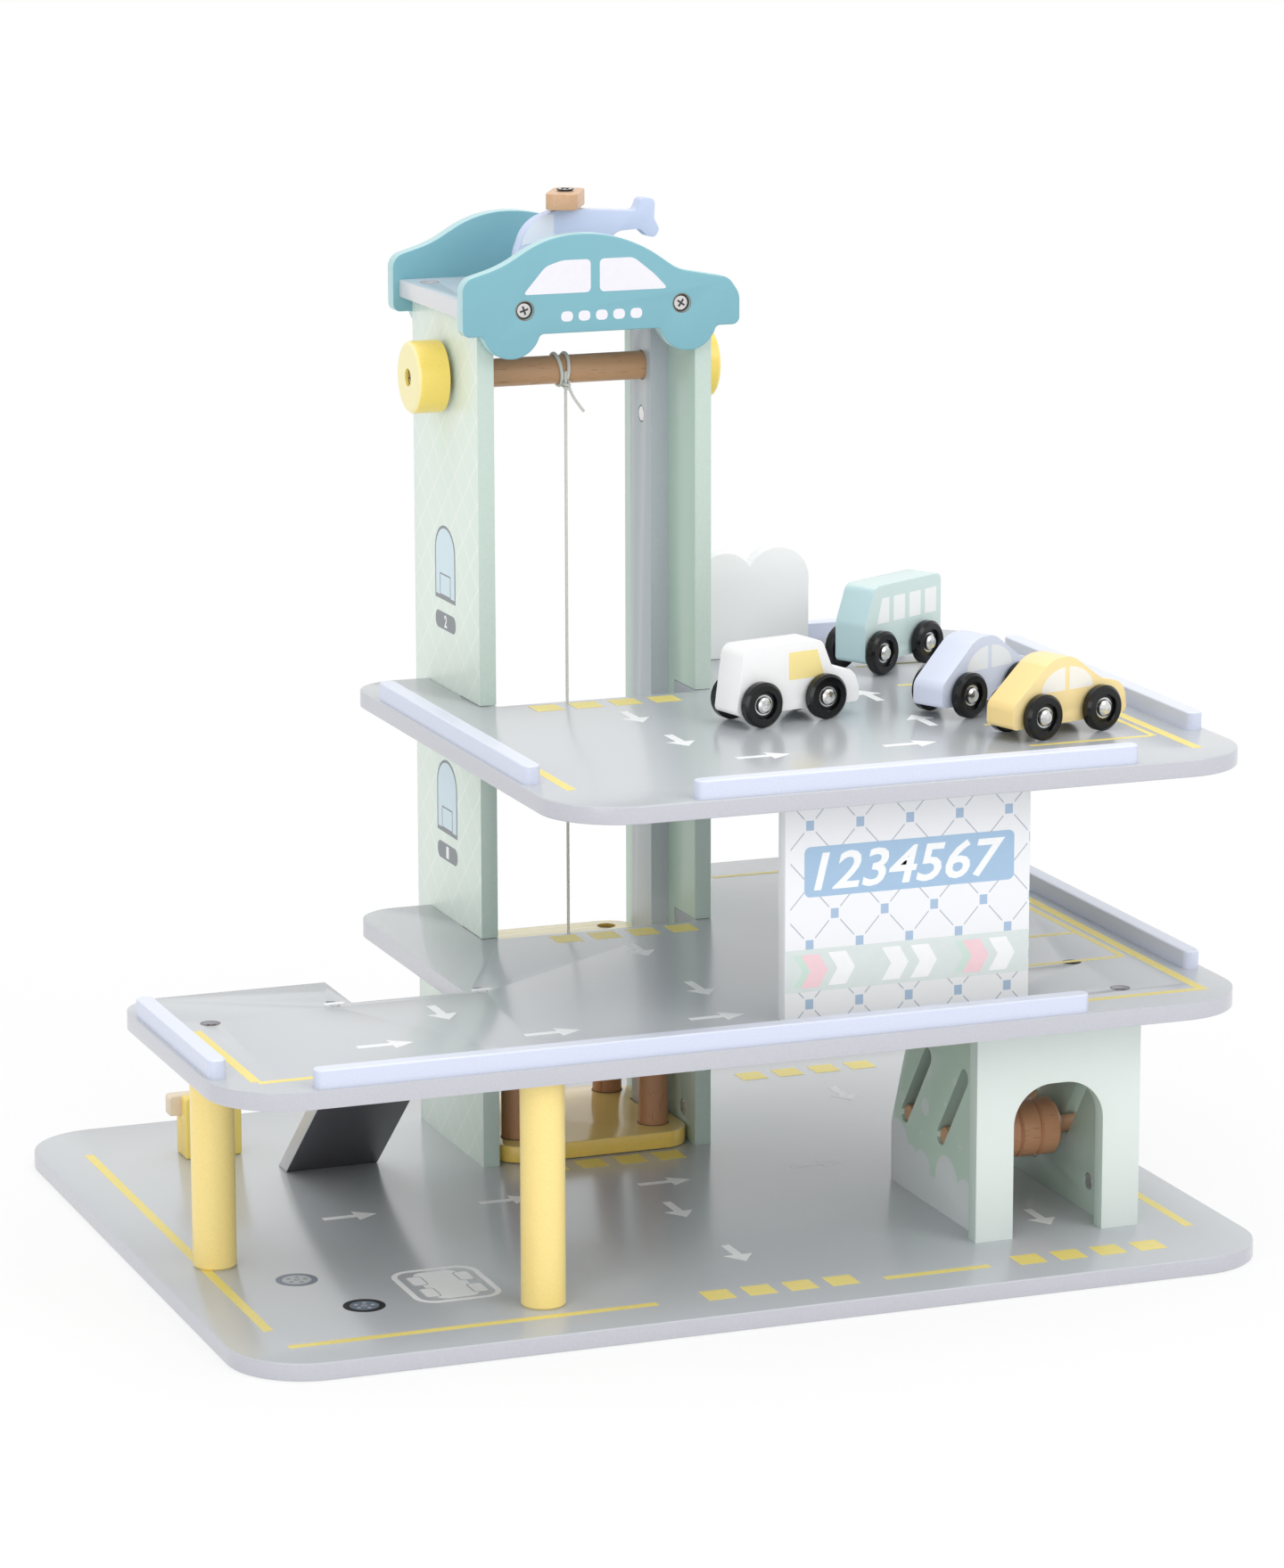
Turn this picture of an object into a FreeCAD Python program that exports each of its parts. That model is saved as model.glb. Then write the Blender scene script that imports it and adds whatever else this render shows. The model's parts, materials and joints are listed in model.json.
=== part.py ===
import FreeCAD, Part
import math
import os

import Sketcher

# Toy parking garage with a winch lift, four vehicles and a helicopter.
# +X is to the right of the front, +Y to the back, +Z up; the origin is the middle of the base's underside.

Vector = FreeCAD.Vector
doc = FreeCAD.newDocument("ParkingGarage")
sheet = doc.addObject("Spreadsheet::Sheet", "Sizes")


class Size:
    # A length or an angle that carries its present value and the formula that gives it.
    def __init__(self, value, formula):
        self.value = value
        self.formula = formula

    def __add__(self, other):
        other = as_size(other)
        return Size(self.value + other.value, f"({self.formula} + {other.formula})")

    def __sub__(self, other):
        other = as_size(other)
        return Size(self.value - other.value, f"({self.formula} - {other.formula})")

    def __mul__(self, factor):
        return Size(self.value * factor, f"({self.formula} * {factor})")

    def __truediv__(self, divisor):
        return Size(self.value / divisor, f"({self.formula} / {divisor})")

    def __neg__(self):
        return Size(-self.value, f"(-{self.formula})")


def as_size(number):
    if isinstance(number, Size):
        return number
    return Size(float(number), f"({number})")


def named(alias, number):
    # One more row of the sheet, and the size that refers to it.
    row = len(sheet_rows) + 1
    sheet.set(f"A{row}", str(number))
    sheet.setAlias(f"A{row}", alias)
    sheet_rows.append(alias)
    return Size(float(number), f"Sizes.{alias}")


sheet_rows = []
zero = as_size(0)

# Boards and storeys
board = 9
base_width = 540
base_depth = 432
board_corner = 40
storey = 115.5
headroom = 202
seat_gap = 0.2
run_gap = 0.3

# Decks
deck_front = 187.5
deck_left = 100.5
deck_back_left = 151
small_corner = 25
wing_back = 10
ramp_notch = 34.5
ramp_width = 51
ramp_run = 145
ramp_thickness = 9
ramp_side_gap = 4.2
slot_length = 13
slot_width = 5
slot_inset = 9.4
slot_front = 33.4

# Tower
tower_middle = 9
shaft_width = 111
shaft_front = 64
tower_front = 67
tower_depth = 104
wall_notch = 31
guide_thickness = 10
guide_width = 30
guide_setback = 39
roof_overhang = 7
guide_dowel_drop = 26

# Signs
sign_drop = 8
sign_left = 75
sign_right = 77
sign_wheel_radius = 15.9
sign_wheel_rise = 3.6
sign_wheel_spread = 97
sign_screw_left = 41.4
sign_screw_right = 44.7
sign_crease = 3

# Winch
winch_drop = 35.7
winch_setback = 53
roller_diameter = 15
knob_diameter = 38
knob_thickness = 17
knob_gap = 2.8
rope_diameter = 1.6

# Lift
lift_front = 66
lift_depth = 104
lift_play = 1
lift_height = 101.7
lift_corner = 16
lift_post_diameter = 16
lift_post_spread = 78
lift_post_depth = 71
lift_post_setback = 56.5

# Pillars, rails and panels
pillar_diameter = 22
left_pillar_inset = 32.5
left_pillar_setback = 139.5
right_pillar_inset = 163.5
right_pillar_setback = 20
rail_width = 9
rail_height = 9.3
rail_inset = 2
rail_end = 4
rail_top_edge = 1
middle_front_rail_start = 44
middle_front_rail_length = 403
middle_left_rail_start = 37.5
middle_left_rail_length = 131
middle_right_rail_start = 62.5
middle_right_rail_length = 229
upper_front_rail_start = 68
upper_front_rail_length = 234.5
upper_left_rail_start = 64.5
upper_left_rail_length = 229
upper_right_rail_start = 64.5
upper_right_rail_length = 227
upper_back_rail_start = 185.5
upper_back_rail_length = 150
panel_setback = 35.9
panel_left = 26.5
panel_width = 132
cloud_front = 141.5
cloud_gap = 2.5
cloud_width = 84
cloud_height = 51
cloud_bump = 18

# Car wash
wash_inset = 48.5
wash_width = 90.5
wash_wall_inset = 5.5
wash_depth = 120.6
arch_width = 49.5
arch_height = 79.5
arch_corner = 21
wash_slope_foot = 32
wash_slope_run = 34
brush_diameter = 29.5
brush_length = 45.6
brush_groove = 2.5
brush_groove_count = 3
brush_shoulder = 2
brush_axle = 9
brush_axle_sink = 1.5
brush_slot_play = 0.3
brush_slot_travel = 47.5
brush_slot_lean = 37
brush_low = 40.4
front_brush_setback = 48
back_brush_setback = 94.1

# Fuel pump
pump_left = 198
pump_front = 138.5
pump_width = 31
pump_height = 34
pump_low_height = 22
pump_block_overhang = 6

# Vehicles and helicopter
wheel_diameter = 23.5
wheel_width = 6
wheel_gap = 1
wheel_base = 40
vehicle_width = 20
axle_diameter = 3
axle_play = 0.1
helicopter_width = 9
helicopter_height = 40
rotor_length = 34
rotor_width = 17
rotor_thickness = 8.5
rotor_x = 12
rotor_turn = 62
rotor_corner = 5

# Screws
screw_head = 9
screw_head_height = 1.2
screw_shank = 3.5
screw_length = 20
screw_sink = 2.5
dowel_diameter = 9
dowel_length = 6
dowel_rise = 16.5
deck_screw_setback = 62
roof_screw_inset = 16
tower_dowel_inset = 18.5
wash_dowel_front = 20
wash_dowel_back = 26

# Each number above becomes a row of the sheet, and its name then stands for that row
for alias, number in list(globals().items()):
    if type(number) in (int, float):
        globals()[alias] = named(alias, number)
doc.recompute()

# Levels and planes that several pieces share
base_top = board
middle_under = base_top + storey
middle_top = middle_under + board
upper_under = middle_top + storey
upper_top = upper_under + board
roof_under = upper_top + headroom
roof_top = roof_under + board
shaft_left = tower_middle - shaft_width / 2
shaft_right = tower_middle + shaft_width / 2
tower_left = shaft_left - board
tower_right = shaft_right + board
tower_back = tower_front + tower_depth
notch_back = tower_front + wall_notch
guide_front = tower_front + guide_setback
guide_back = guide_front + guide_width
winch_y = tower_front + winch_setback
winch_z = roof_under - winch_drop
half_width = base_width / 2


def plane_of(body, role):
    for feature in body.Origin.OriginFeatures:
        if feature.Role == role:
            return feature
    raise ValueError(role)


def new_body(name, role, label):
    # A body and its first sketch on one of its own origin planes.
    body = doc.addObject("PartDesign::Body", name)
    body.Label = name
    return body, sketch_on(body, role, label)


def sketch_on(body, role, label):
    sketch = body.newObject("Sketcher::SketchObject", f"{body.Name}_{label}")
    sketch.AttachmentSupport = [(plane_of(body, role), "")]
    sketch.MapMode = "FlatFace"
    return sketch


def bind(sketch, constraint, size):
    index = sketch.addConstraint(constraint)
    sketch.setExpression(f"Constraints[{index}]", size.formula)


def fix_point(sketch, geometry, vertex, x, y):
    bind(sketch, Sketcher.Constraint("DistanceX", -1, 1, geometry, vertex, x.value), x)
    bind(sketch, Sketcher.Constraint("DistanceY", -1, 1, geometry, vertex, y.value), y)


def draw_polygon(sketch, corners):
    # A closed loop of straight lines with every corner dimensioned from the sketch's origin.
    places = [(as_size(corner[0]), as_size(corner[1])) for corner in corners]
    first = sketch.GeometryCount
    count = len(places)
    for index, (x, y) in enumerate(places):
        end_x, end_y = places[(index + 1) % count]
        start = Vector(x.value, y.value, 0)
        sketch.addGeometry(Part.LineSegment(start, Vector(end_x.value, end_y.value, 0)), False)
    for index in range(count):
        following = first + (index + 1) % count
        sketch.addConstraint(Sketcher.Constraint("Coincident", first + index, 2, following, 1))
    for index, (x, y) in enumerate(places):
        fix_point(sketch, first + index, 1, x, y)


def draw_circle(sketch, x, y, radius):
    x, y, radius = as_size(x), as_size(y), as_size(radius)
    circle = Part.Circle(Vector(x.value, y.value, 0), Vector(0, 0, 1), radius.value)
    index = sketch.addGeometry(circle, False)
    fix_point(sketch, index, 3, x, y)
    bind(sketch, Sketcher.Constraint("Radius", index, radius.value), radius)


def draw_slot(sketch, start, end, radius):
    # Two half rounds joined by two tangent lines.
    radius = as_size(radius)
    low = Vector(start[0].value, start[1].value, 0)
    high = Vector(end[0].value, end[1].value, 0)
    angle = math.atan2(high.y - low.y, high.x - low.x)
    side = Vector(-math.sin(angle), math.cos(angle), 0) * radius.value
    normal = Vector(0, 0, 1)
    quarter = math.pi / 2
    low_circle = Part.Circle(low, normal, radius.value)
    high_circle = Part.Circle(high, normal, radius.value)
    low_arc = sketch.addGeometry(Part.ArcOfCircle(low_circle, angle + quarter, angle + 3 * quarter), False)
    near = sketch.addGeometry(Part.LineSegment(low - side, high - side), False)
    high_arc = sketch.addGeometry(Part.ArcOfCircle(high_circle, angle - quarter, angle + quarter), False)
    far = sketch.addGeometry(Part.LineSegment(high + side, low + side), False)
    chain = [low_arc, near, high_arc, far]
    for index, piece in enumerate(chain):
        sketch.addConstraint(Sketcher.Constraint("Tangent", piece, 2, chain[(index + 1) % 4], 1))
    fix_point(sketch, low_arc, 3, start[0], start[1])
    fix_point(sketch, high_arc, 3, end[0], end[1])
    bind(sketch, Sketcher.Constraint("Radius", low_arc, radius.value), radius)
    sketch.addConstraint(Sketcher.Constraint("Equal", low_arc, high_arc))


def pad(body, sketch, thickness, label, centred=False, backwards=False):
    feature = body.newObject("PartDesign::Pad", f"{body.Name}_{label}")
    feature.Profile = sketch
    thickness = as_size(thickness)
    feature.Length = thickness.value
    feature.setExpression("Length", thickness.formula)
    feature.SideType = "Symmetric" if centred else "One side"
    feature.Reversed = backwards
    body.Tip = feature
    doc.recompute()
    return feature


def cut_through(body, sketch, label):
    # A pocket through the whole piece, with a check that it took something away.
    before = body.Shape.Volume
    feature = body.newObject("PartDesign::Pocket", f"{body.Name}_{label}")
    feature.Profile = sketch
    feature.Type = "ThroughAll"
    feature.SideType = "Symmetric"
    body.Tip = feature
    doc.recompute()
    if body.Shape.Volume >= before - 0.001:
        raise ValueError(f"{body.Name} {label} cuts nothing")
    return feature


def drill(body, role, label, places, radius, face, depth, forwards=False):
    # Blind round holes from a face of the piece; forwards drills along the sketch plane's normal.
    before = body.Shape.Volume
    sketch = sketch_on(body, role, label)
    sketch.setExpression("AttachmentOffset.Base.z", as_size(face).formula)
    for x, y in places:
        draw_circle(sketch, x, y, radius)
    feature = body.newObject("PartDesign::Pocket", f"{body.Name}_{label}_hole")
    feature.Profile = sketch
    feature.Length = as_size(depth).value
    feature.setExpression("Length", as_size(depth).formula)
    feature.Reversed = forwards
    body.Tip = feature
    doc.recompute()
    if body.Shape.Volume >= before - 0.001:
        raise ValueError(f"{body.Name} {label} drills nothing")


def turn(body, sketch, label):
    feature = body.newObject("PartDesign::Revolution", f"{body.Name}_{label}")
    feature.Profile = sketch
    feature.ReferenceAxis = (sketch, ["V_Axis"])
    feature.Angle = 360
    body.Tip = feature
    doc.recompute()
    return feature


def edges_at(shape, role, places):
    # Names of the straight edges that run across the sketch plane at the given corners.
    across = {"XY_Plane": 2, "XZ_Plane": 1, "YZ_Plane": 0}[role]
    kept = [axis for axis in (0, 1, 2) if axis != across]
    names = []
    for number, edge in enumerate(shape.Edges, 1):
        if edge.Curve.TypeId != "Part::GeomLine":
            continue
        start, end = edge.Vertexes[0].Point, edge.Vertexes[-1].Point
        if abs(abs(end[across] - start[across]) - edge.Length) > 0.001:
            continue
        for place in places:
            if all(abs(start[axis] - value) < 0.001 for axis, value in zip(kept, place)):
                names.append(f"Edge{number}")
    return names


def round_edges(body, names, radius, label):
    radius = as_size(radius)
    rounded = body.Tip
    feature = body.newObject("PartDesign::Fillet", f"{body.Name}_{label}")
    feature.Base = (rounded, names)
    feature.Radius = radius.value
    feature.setExpression("Radius", radius.formula)
    body.Tip = feature
    doc.recompute()
    return feature


def round_corners(body, role, corners):
    # Corners that carry a third value are rounded with it as the radius.
    groups = {}
    for corner in corners:
        if len(corner) > 2:
            radius = as_size(corner[2])
            place = (as_size(corner[0]).value, as_size(corner[1]).value)
            groups.setdefault(radius.formula, (radius, []))[1].append(place)
    for number, (radius, places) in enumerate(groups.values(), 1):
        names = edges_at(body.Shape, role, places)
        if len(names) != len(places):
            raise ValueError(f"{body.Name}: {len(names)} of {len(places)} corners found")
        round_edges(body, names, radius, f"corners_{number}")


def rim_edges(shape, height, tolerance=0.001):
    # Names of all edges that lie in the level plane at a height.
    names = []
    for number, edge in enumerate(shape.Edges, 1):
        box = edge.BoundBox
        if abs(box.ZMin - height) < tolerance and abs(box.ZMax - height) < tolerance:
            names.append(f"Edge{number}")
    return names


def place(piece, x, y, z):
    for axis, size in zip("xyz", (x, y, z)):
        piece.setExpression(f"Placement.Base.{axis}", as_size(size).formula)


def turn_upright(piece, axis, angle):
    piece.Placement = FreeCAD.Placement(Vector(0, 0, 0), FreeCAD.Rotation(axis, angle))


def flat_board(name, corners, thickness, holes=(), slots=()):
    # A board that lies flat: outline in plan, thickness upwards.
    body, outline = new_body(name, "XY_Plane", "outline")
    draw_polygon(outline, corners)
    pad(body, outline, thickness, "board")
    round_corners(body, "XY_Plane", corners)
    if holes or slots:
        openings = sketch_on(body, "XY_Plane", "openings")
        for x, y, radius in holes:
            draw_circle(openings, x, y, radius)
        for start, end, radius in slots:
            draw_slot(openings, start, end, radius)
        cut_through(body, openings, "cut")
    return body


def upright_board(name, role, corners, thickness, holes=(), slots=(), centred=False, backwards=False):
    # A board that stands: outline in elevation, seen from the front (XZ) or from the right (YZ).
    body, outline = new_body(name, role, "outline")
    draw_polygon(outline, corners)
    pad(body, outline, thickness, "board", centred, backwards)
    round_corners(body, role, corners)
    if holes or slots:
        openings = sketch_on(body, role, "openings")
        for x, y, radius in holes:
            draw_circle(openings, x, y, radius)
        for start, end, radius in slots:
            draw_slot(openings, start, end, radius)
        cut_through(body, openings, "cut")
    return body


def turned(name, profile):
    # A turned piece about the vertical axis, from its half profile of (radius, height) points.
    body, outline = new_body(name, "XZ_Plane", "profile")
    draw_polygon(outline, profile)
    turn(body, outline, "turning")
    return body


def dowel_profile(radius, length, chamfer=0.8):
    return [(0, 0), (radius - chamfer, 0), (radius, chamfer), (radius, length - chamfer),
            (radius - chamfer, length), (0, length)]


# Holes that a screw's shank and sunk head fit
shank_radius = screw_shank / 2 + seat_gap / 2
head_radius = screw_head / 2 + seat_gap

# Base
half_depth = base_depth / 2
flat_board("base_board", [
    (-half_width, -half_depth, board_corner),
    (half_width, -half_depth, board_corner),
    (half_width, half_depth, board_corner),
    (-half_width, half_depth, board_corner),
], board)


def deck_back_edge():
    # From the right back corner round the lift shaft and both wall slots to the left back corner.
    wall_right = tower_right + seat_gap
    wall_left = tower_left - seat_gap
    notch = notch_back - seat_gap
    return [
        (half_width, deck_front, board_corner),
        (wall_right, deck_front),
        (wall_right, notch),
        (shaft_right, notch),
        (shaft_right, shaft_front),
        (shaft_left, shaft_front),
        (shaft_left, notch),
        (wall_left, notch),
        (wall_left, deck_back_left),
        (-deck_left, deck_back_left, small_corner),
    ]


# Middle deck, with a wing on the left and the notch that takes the ramp
notch_left = -deck_left - ramp_width - ramp_side_gap * 2
slot_half = slot_length / 2 - slot_width / 2
slot_ends = (-slot_front - slot_half, -slot_front + slot_half)
middle_deck = flat_board("middle_deck", [
    (-half_width, -deck_front, board_corner),
    (half_width, -deck_front, board_corner),
] + deck_back_edge() + [
    (-deck_left, -ramp_notch),
    (notch_left, -ramp_notch),
    (notch_left, wing_back),
    (-half_width, wing_back, small_corner),
], board, slots=[
    ((x, slot_ends[0]), (x, slot_ends[1]), slot_width / 2)
    for x in (notch_left - slot_inset, -deck_left + slot_inset)
])
place(middle_deck, 0, 0, middle_under)

# Upper deck
upper_deck = flat_board("upper_deck", [
    (-deck_left, -deck_front, board_corner),
    (half_width, -deck_front, board_corner),
] + deck_back_edge(), board)
place(upper_deck, 0, 0, upper_under)

# Tower walls: the front half of each stands on the decks, the back half runs through their slots
wall_outline = [(tower_front, base_top)]
for under, top in ((middle_under, middle_top), (upper_under, upper_top)):
    wall_outline += [
        (tower_front, under - seat_gap),
        (notch_back, under - seat_gap),
        (notch_back, top + seat_gap),
        (tower_front, top + seat_gap),
    ]
wall_outline += [(tower_front, roof_under), (tower_back, roof_under), (tower_back, base_top)]
winch_hole = (winch_y, winch_z, roller_diameter / 2 + run_gap)
for name, left_side in (("tower_left_wall", tower_left), ("tower_right_wall", shaft_right)):
    wall = upright_board(name, "YZ_Plane", wall_outline, board, holes=[winch_hole])
    place(wall, left_side, 0, 0)

# Guide rails on the inner faces of the walls
guide_outline = [
    (guide_front, base_top), (guide_back, base_top), (guide_back, roof_under), (guide_front, roof_under),
]
for name, left_side in (("left_guide", shaft_left), ("right_guide", shaft_right - guide_thickness)):
    guide = upright_board(name, "YZ_Plane", guide_outline, guide_thickness, holes=[winch_hole])
    place(guide, left_side, 0, 0)

# Roof
roof_left = tower_left - roof_overhang
roof_right = tower_right + roof_overhang
roof = flat_board("roof_board", [
    (roof_left, tower_front), (roof_right, tower_front), (roof_right, tower_back), (roof_left, tower_back),
], board)
place(roof, 0, 0, roof_under)

# Car-shaped signs on the front and back edges of the roof
sign_low = roof_under - sign_drop
sign_outline = [(tower_middle + x, sign_low + rise, radius) for x, rise, radius in (
    (-sign_left, zero, 4), (-sign_left, 29, 8), (-53.5, 35.3, 60), (-27.2, 50.9, 58), (13.2, 50.9, 76),
    (42.8, 30.2, 25), (71, 24.9, 9), (sign_right, 16, 10), (sign_right, zero, 4),
)]
sign_wheels = [tower_middle + sign_wheel_spread / 2 * side for side in (-1, 1)]
sign_screws = (tower_middle - sign_screw_left, tower_middle + sign_screw_right)


def roof_sign(name, front_face, facing_back):
    sign, outline = new_body(name, "XZ_Plane", "outline")
    draw_polygon(outline, sign_outline)
    pad(sign, outline, board, "board", backwards=True)
    round_corners(sign, "XZ_Plane", sign_outline)
    wheels = sketch_on(sign, "XZ_Plane", "wheels")
    for x in sign_wheels:
        draw_circle(wheels, x, sign_low + sign_wheel_rise, sign_wheel_radius)
    pad(sign, wheels, board, "wheel_rounds", backwards=True)
    creases = [
        f"Edge{number}" for number, edge in enumerate(sign.Shape.Edges, 1)
        if edge.Curve.TypeId == "Part::GeomLine" and abs(edge.BoundBox.YLength - board.value) < 0.001
        and abs(edge.BoundBox.ZMin - sign_low.value) < 0.001
        and any(abs(edge.BoundBox.XMin - x.value) < sign_wheel_radius.value for x in sign_wheels)
    ]
    round_edges(sign, creases, sign_crease, "creases")
    places = [(x, roof_under + board / 2) for x in sign_screws]
    drill(sign, "XZ_Plane", "shanks", places, shank_radius, zero, board)
    outer_face = -board if facing_back else zero
    drill(sign, "XZ_Plane", "heads", places, head_radius, outer_face, screw_sink, facing_back)
    place(sign, 0, front_face, 0)
    return sign


roof_sign("front_sign", tower_front - board, False)
roof_sign("back_sign", tower_back, True)

# Winch: a beech roller through guides and walls, with a knob on each end
roller_left = tower_left - knob_gap - knob_thickness / 2
roller_length = tower_right - tower_left + knob_gap * 2 + knob_thickness
winch_roller = turned("winch_roller", dowel_profile(roller_diameter / 2, roller_length))
for label, face, forwards in (("left_pilot", zero, True), ("right_pilot", roller_length, False)):
    drill(winch_roller, "XY_Plane", label, [(0, 0)], shank_radius, face, screw_length, forwards)
turn_upright(winch_roller, Vector(0, 1, 0), 90)
place(winch_roller, roller_left, winch_y, winch_z)

knob_radius = knob_diameter / 2
knob_socket = knob_thickness / 2
socket_radius = roller_diameter / 2 + seat_gap / 4
knob_profile = [
    (socket_radius, 0), (knob_radius, 0), (knob_radius, knob_thickness),
    (head_radius, knob_thickness), (head_radius, knob_thickness - screw_sink),
    (shank_radius, knob_thickness - screw_sink), (shank_radius, knob_socket), (socket_radius, knob_socket),
]
for name, start, angle in (
    ("left_knob", tower_left - knob_gap, -90), ("right_knob", tower_right + knob_gap, 90),
):
    knob = turned(name, knob_profile)
    rim = [number for number in rim_edges(knob.Shape, knob_thickness.value)
           if abs(knob.Shape.Edges[int(number[4:]) - 1].Curve.Radius - knob_radius.value) < 0.01]
    round_edges(knob, rim, 2.5, "outer_rim")
    turn_upright(knob, Vector(0, 1, 0), angle)
    place(knob, start, winch_y, winch_z)

# Lift cabin: two plates on four posts, notched round the guides
lift_low = base_top + run_gap
lift_left = shaft_left + lift_play
lift_right = shaft_right - lift_play
lift_back = lift_front + lift_depth
left_notch = shaft_left + guide_thickness + lift_play
right_notch = shaft_right - guide_thickness - lift_play
notch_front = guide_front - lift_play
notch_rear = guide_back + lift_play
lift_outline = [
    (lift_left, lift_front, lift_corner), (lift_right, lift_front, lift_corner),
    (lift_right, notch_front), (right_notch, notch_front),
    (right_notch, notch_rear), (lift_right, notch_rear),
    (lift_right, lift_back, lift_corner), (lift_left, lift_back, lift_corner),
    (lift_left, notch_rear), (left_notch, notch_rear), (left_notch, notch_front), (lift_left, notch_front),
]
lift_post_middle = lift_front + lift_post_setback
lift_post_places = [
    (tower_middle + lift_post_spread / 2 * side, lift_post_middle + lift_post_depth / 2 * end)
    for side in (-1, 1) for end in (-1, 1)
]
lift_roof_low = lift_low + lift_height - board
lift_floor = flat_board("lift_floor", lift_outline, board)
place(lift_floor, 0, 0, lift_low)
rope_y = winch_y - roller_diameter / 2 - rope_diameter / 2 - seat_gap
rope_hole = (tower_middle, rope_y, rope_diameter / 2 + run_gap)
lift_roof = flat_board("lift_roof", lift_outline, board, holes=[rope_hole] + [
    (x, y, shank_radius) for x, y in lift_post_places
])
drill(lift_roof, "XY_Plane", "heads", lift_post_places, head_radius, board, screw_sink)
place(lift_roof, 0, 0, lift_roof_low)

# Posts between the plates of the cabin, drilled for the screws in their tops
post_height = lift_height - board * 2
pilot_depth = screw_length - board + screw_sink * 2


def group(name, pieces):
    # Several like solids that make one node.
    compound = doc.addObject("Part::Compound", name)
    compound.Label = name
    compound.Links = pieces
    doc.recompute()
    grouped.extend(pieces)
    return compound


grouped = []
lift_posts = []
for number, (x, y) in enumerate(lift_post_places, 1):
    post = turned(f"lift_post_{number}", dowel_profile(lift_post_diameter / 2, post_height, 0.5))
    drill(post, "XY_Plane", "pilot", [(0, 0)], shank_radius, post_height, pilot_depth)
    place(post, x, y, lift_low + board)
    lift_posts.append(post)
group("lift_posts", lift_posts)


def screw(name, x, y, z, axis=None, angle=0):
    # Domed head above its seat and a pointed shank below it, along the piece's own Z.
    radius = screw_head / 2
    shank = screw_shank / 2
    piece = turned(name, [
        (0, -screw_length), (shank, -screw_length + shank * 2), (shank, 0), (radius, 0),
        (radius * 0.8, screw_head_height * 0.7), (0, screw_head_height),
    ])
    if axis is not None:
        turn_upright(piece, axis, angle)
    place(piece, x, y, z)
    return piece


across = Vector(1, 0, 0)
backwards_axis = Vector(0, 1, 0)
sign_screw_z = roof_under + board / 2
group("sign_screws", [
    screw(f"sign_screw_{side}_{number}", x, y, sign_screw_z, across, angle)
    for side, y, angle in (
        ("front", tower_front - board + screw_sink, 90), ("back", tower_back + board - screw_sink, -90),
    )
    for number, x in enumerate(sign_screws, 1)
])
for label, face, forwards in (("front_pilots", -tower_front, False), ("back_pilots", -tower_back, True)):
    places = [(x, board / 2) for x in sign_screws]
    drill(roof, "XZ_Plane", label, places, shank_radius, face, pilot_depth, forwards)
knob_reach = knob_gap + knob_thickness - screw_sink
group("knob_screws", [
    screw("knob_screw_left", tower_left - knob_reach, winch_y, winch_z, backwards_axis, -90),
    screw("knob_screw_right", tower_right + knob_reach, winch_y, winch_z, backwards_axis, 90),
])
lift_screw_z = lift_roof_low + board - screw_sink
group("lift_screws", [
    screw(f"lift_screw_{number}", x, y, lift_screw_z) for number, (x, y) in enumerate(lift_post_places, 1)
])

# Rope: the turns round the roller, and the run down to the cabin
rope_low = lift_low + lift_height
rope = doc.addObject("Part::Cylinder", "lift_rope")
rope.setExpression("Radius", (rope_diameter / 2).formula)
rope.setExpression("Height", (winch_z - rope_low).formula)
place(rope, tower_middle, rope_y, rope_low)
rope_turns = []
for number in (1, 2, 3):
    ring = doc.addObject("Part::Torus", f"rope_turn_{number}")
    ring.setExpression("Radius1", (roller_diameter / 2 + rope_diameter / 2 + seat_gap / 2).formula)
    ring.setExpression("Radius2", (rope_diameter / 2).formula)
    turn_upright(ring, backwards_axis, 90)
    place(ring, tower_middle + (rope_diameter + seat_gap / 2) * number, winch_y, winch_z)
    rope_turns.append(ring)
group("rope_turns", rope_turns)

# Pillars under the middle deck
pillar_places = [
    (-half_width + left_pillar_inset, -deck_front + left_pillar_setback),
    (-half_width + right_pillar_inset, -deck_front + right_pillar_setback),
]
for name, (x, y) in zip(("left_pillar", "right_pillar"), pillar_places):
    pillar = turned(name, dowel_profile(pillar_diameter / 2, storey, 1))
    drill(pillar, "XY_Plane", "pilot", [(0, 0)], shank_radius, storey, pilot_depth)
    place(pillar, x, y, base_top)

# Ramp from the notch of the middle deck down to the base
ramp_angle = math.atan2(middle_top.value - base_top.value, ramp_run.value)
ramp_left = -deck_left - ramp_side_gap - ramp_width
ramp_top_y = -ramp_notch + seat_gap
ramp_drop = ramp_thickness / math.cos(ramp_angle)
ramp_toe = ramp_thickness / math.sin(ramp_angle)
ramp = upright_board("ramp", "YZ_Plane", [
    (ramp_top_y, middle_top), (ramp_top_y, middle_top - ramp_drop),
    (ramp_top_y + ramp_run - ramp_toe, base_top), (ramp_top_y + ramp_run, base_top),
], ramp_width)
place(ramp, ramp_left, 0, 0)


def rail(name, lengthwise, start, length, side, level):
    # A strip with rounded ends on the edge of a deck; side is the line of its outer or left face.
    if lengthwise == "x":
        corners = [
            (start, side), (start + length, side),
            (start + length, side + rail_width), (start, side + rail_width),
        ]
    else:
        corners = [
            (side, start), (side + rail_width, start),
            (side + rail_width, start + length), (side, start + length),
        ]
    piece = flat_board(name, [corner + (rail_end,) for corner in corners], rail_height)
    round_edges(piece, rim_edges(piece.Shape, rail_height.value), rail_top_edge, "top_edge")
    place(piece, 0, 0, level)


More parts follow.
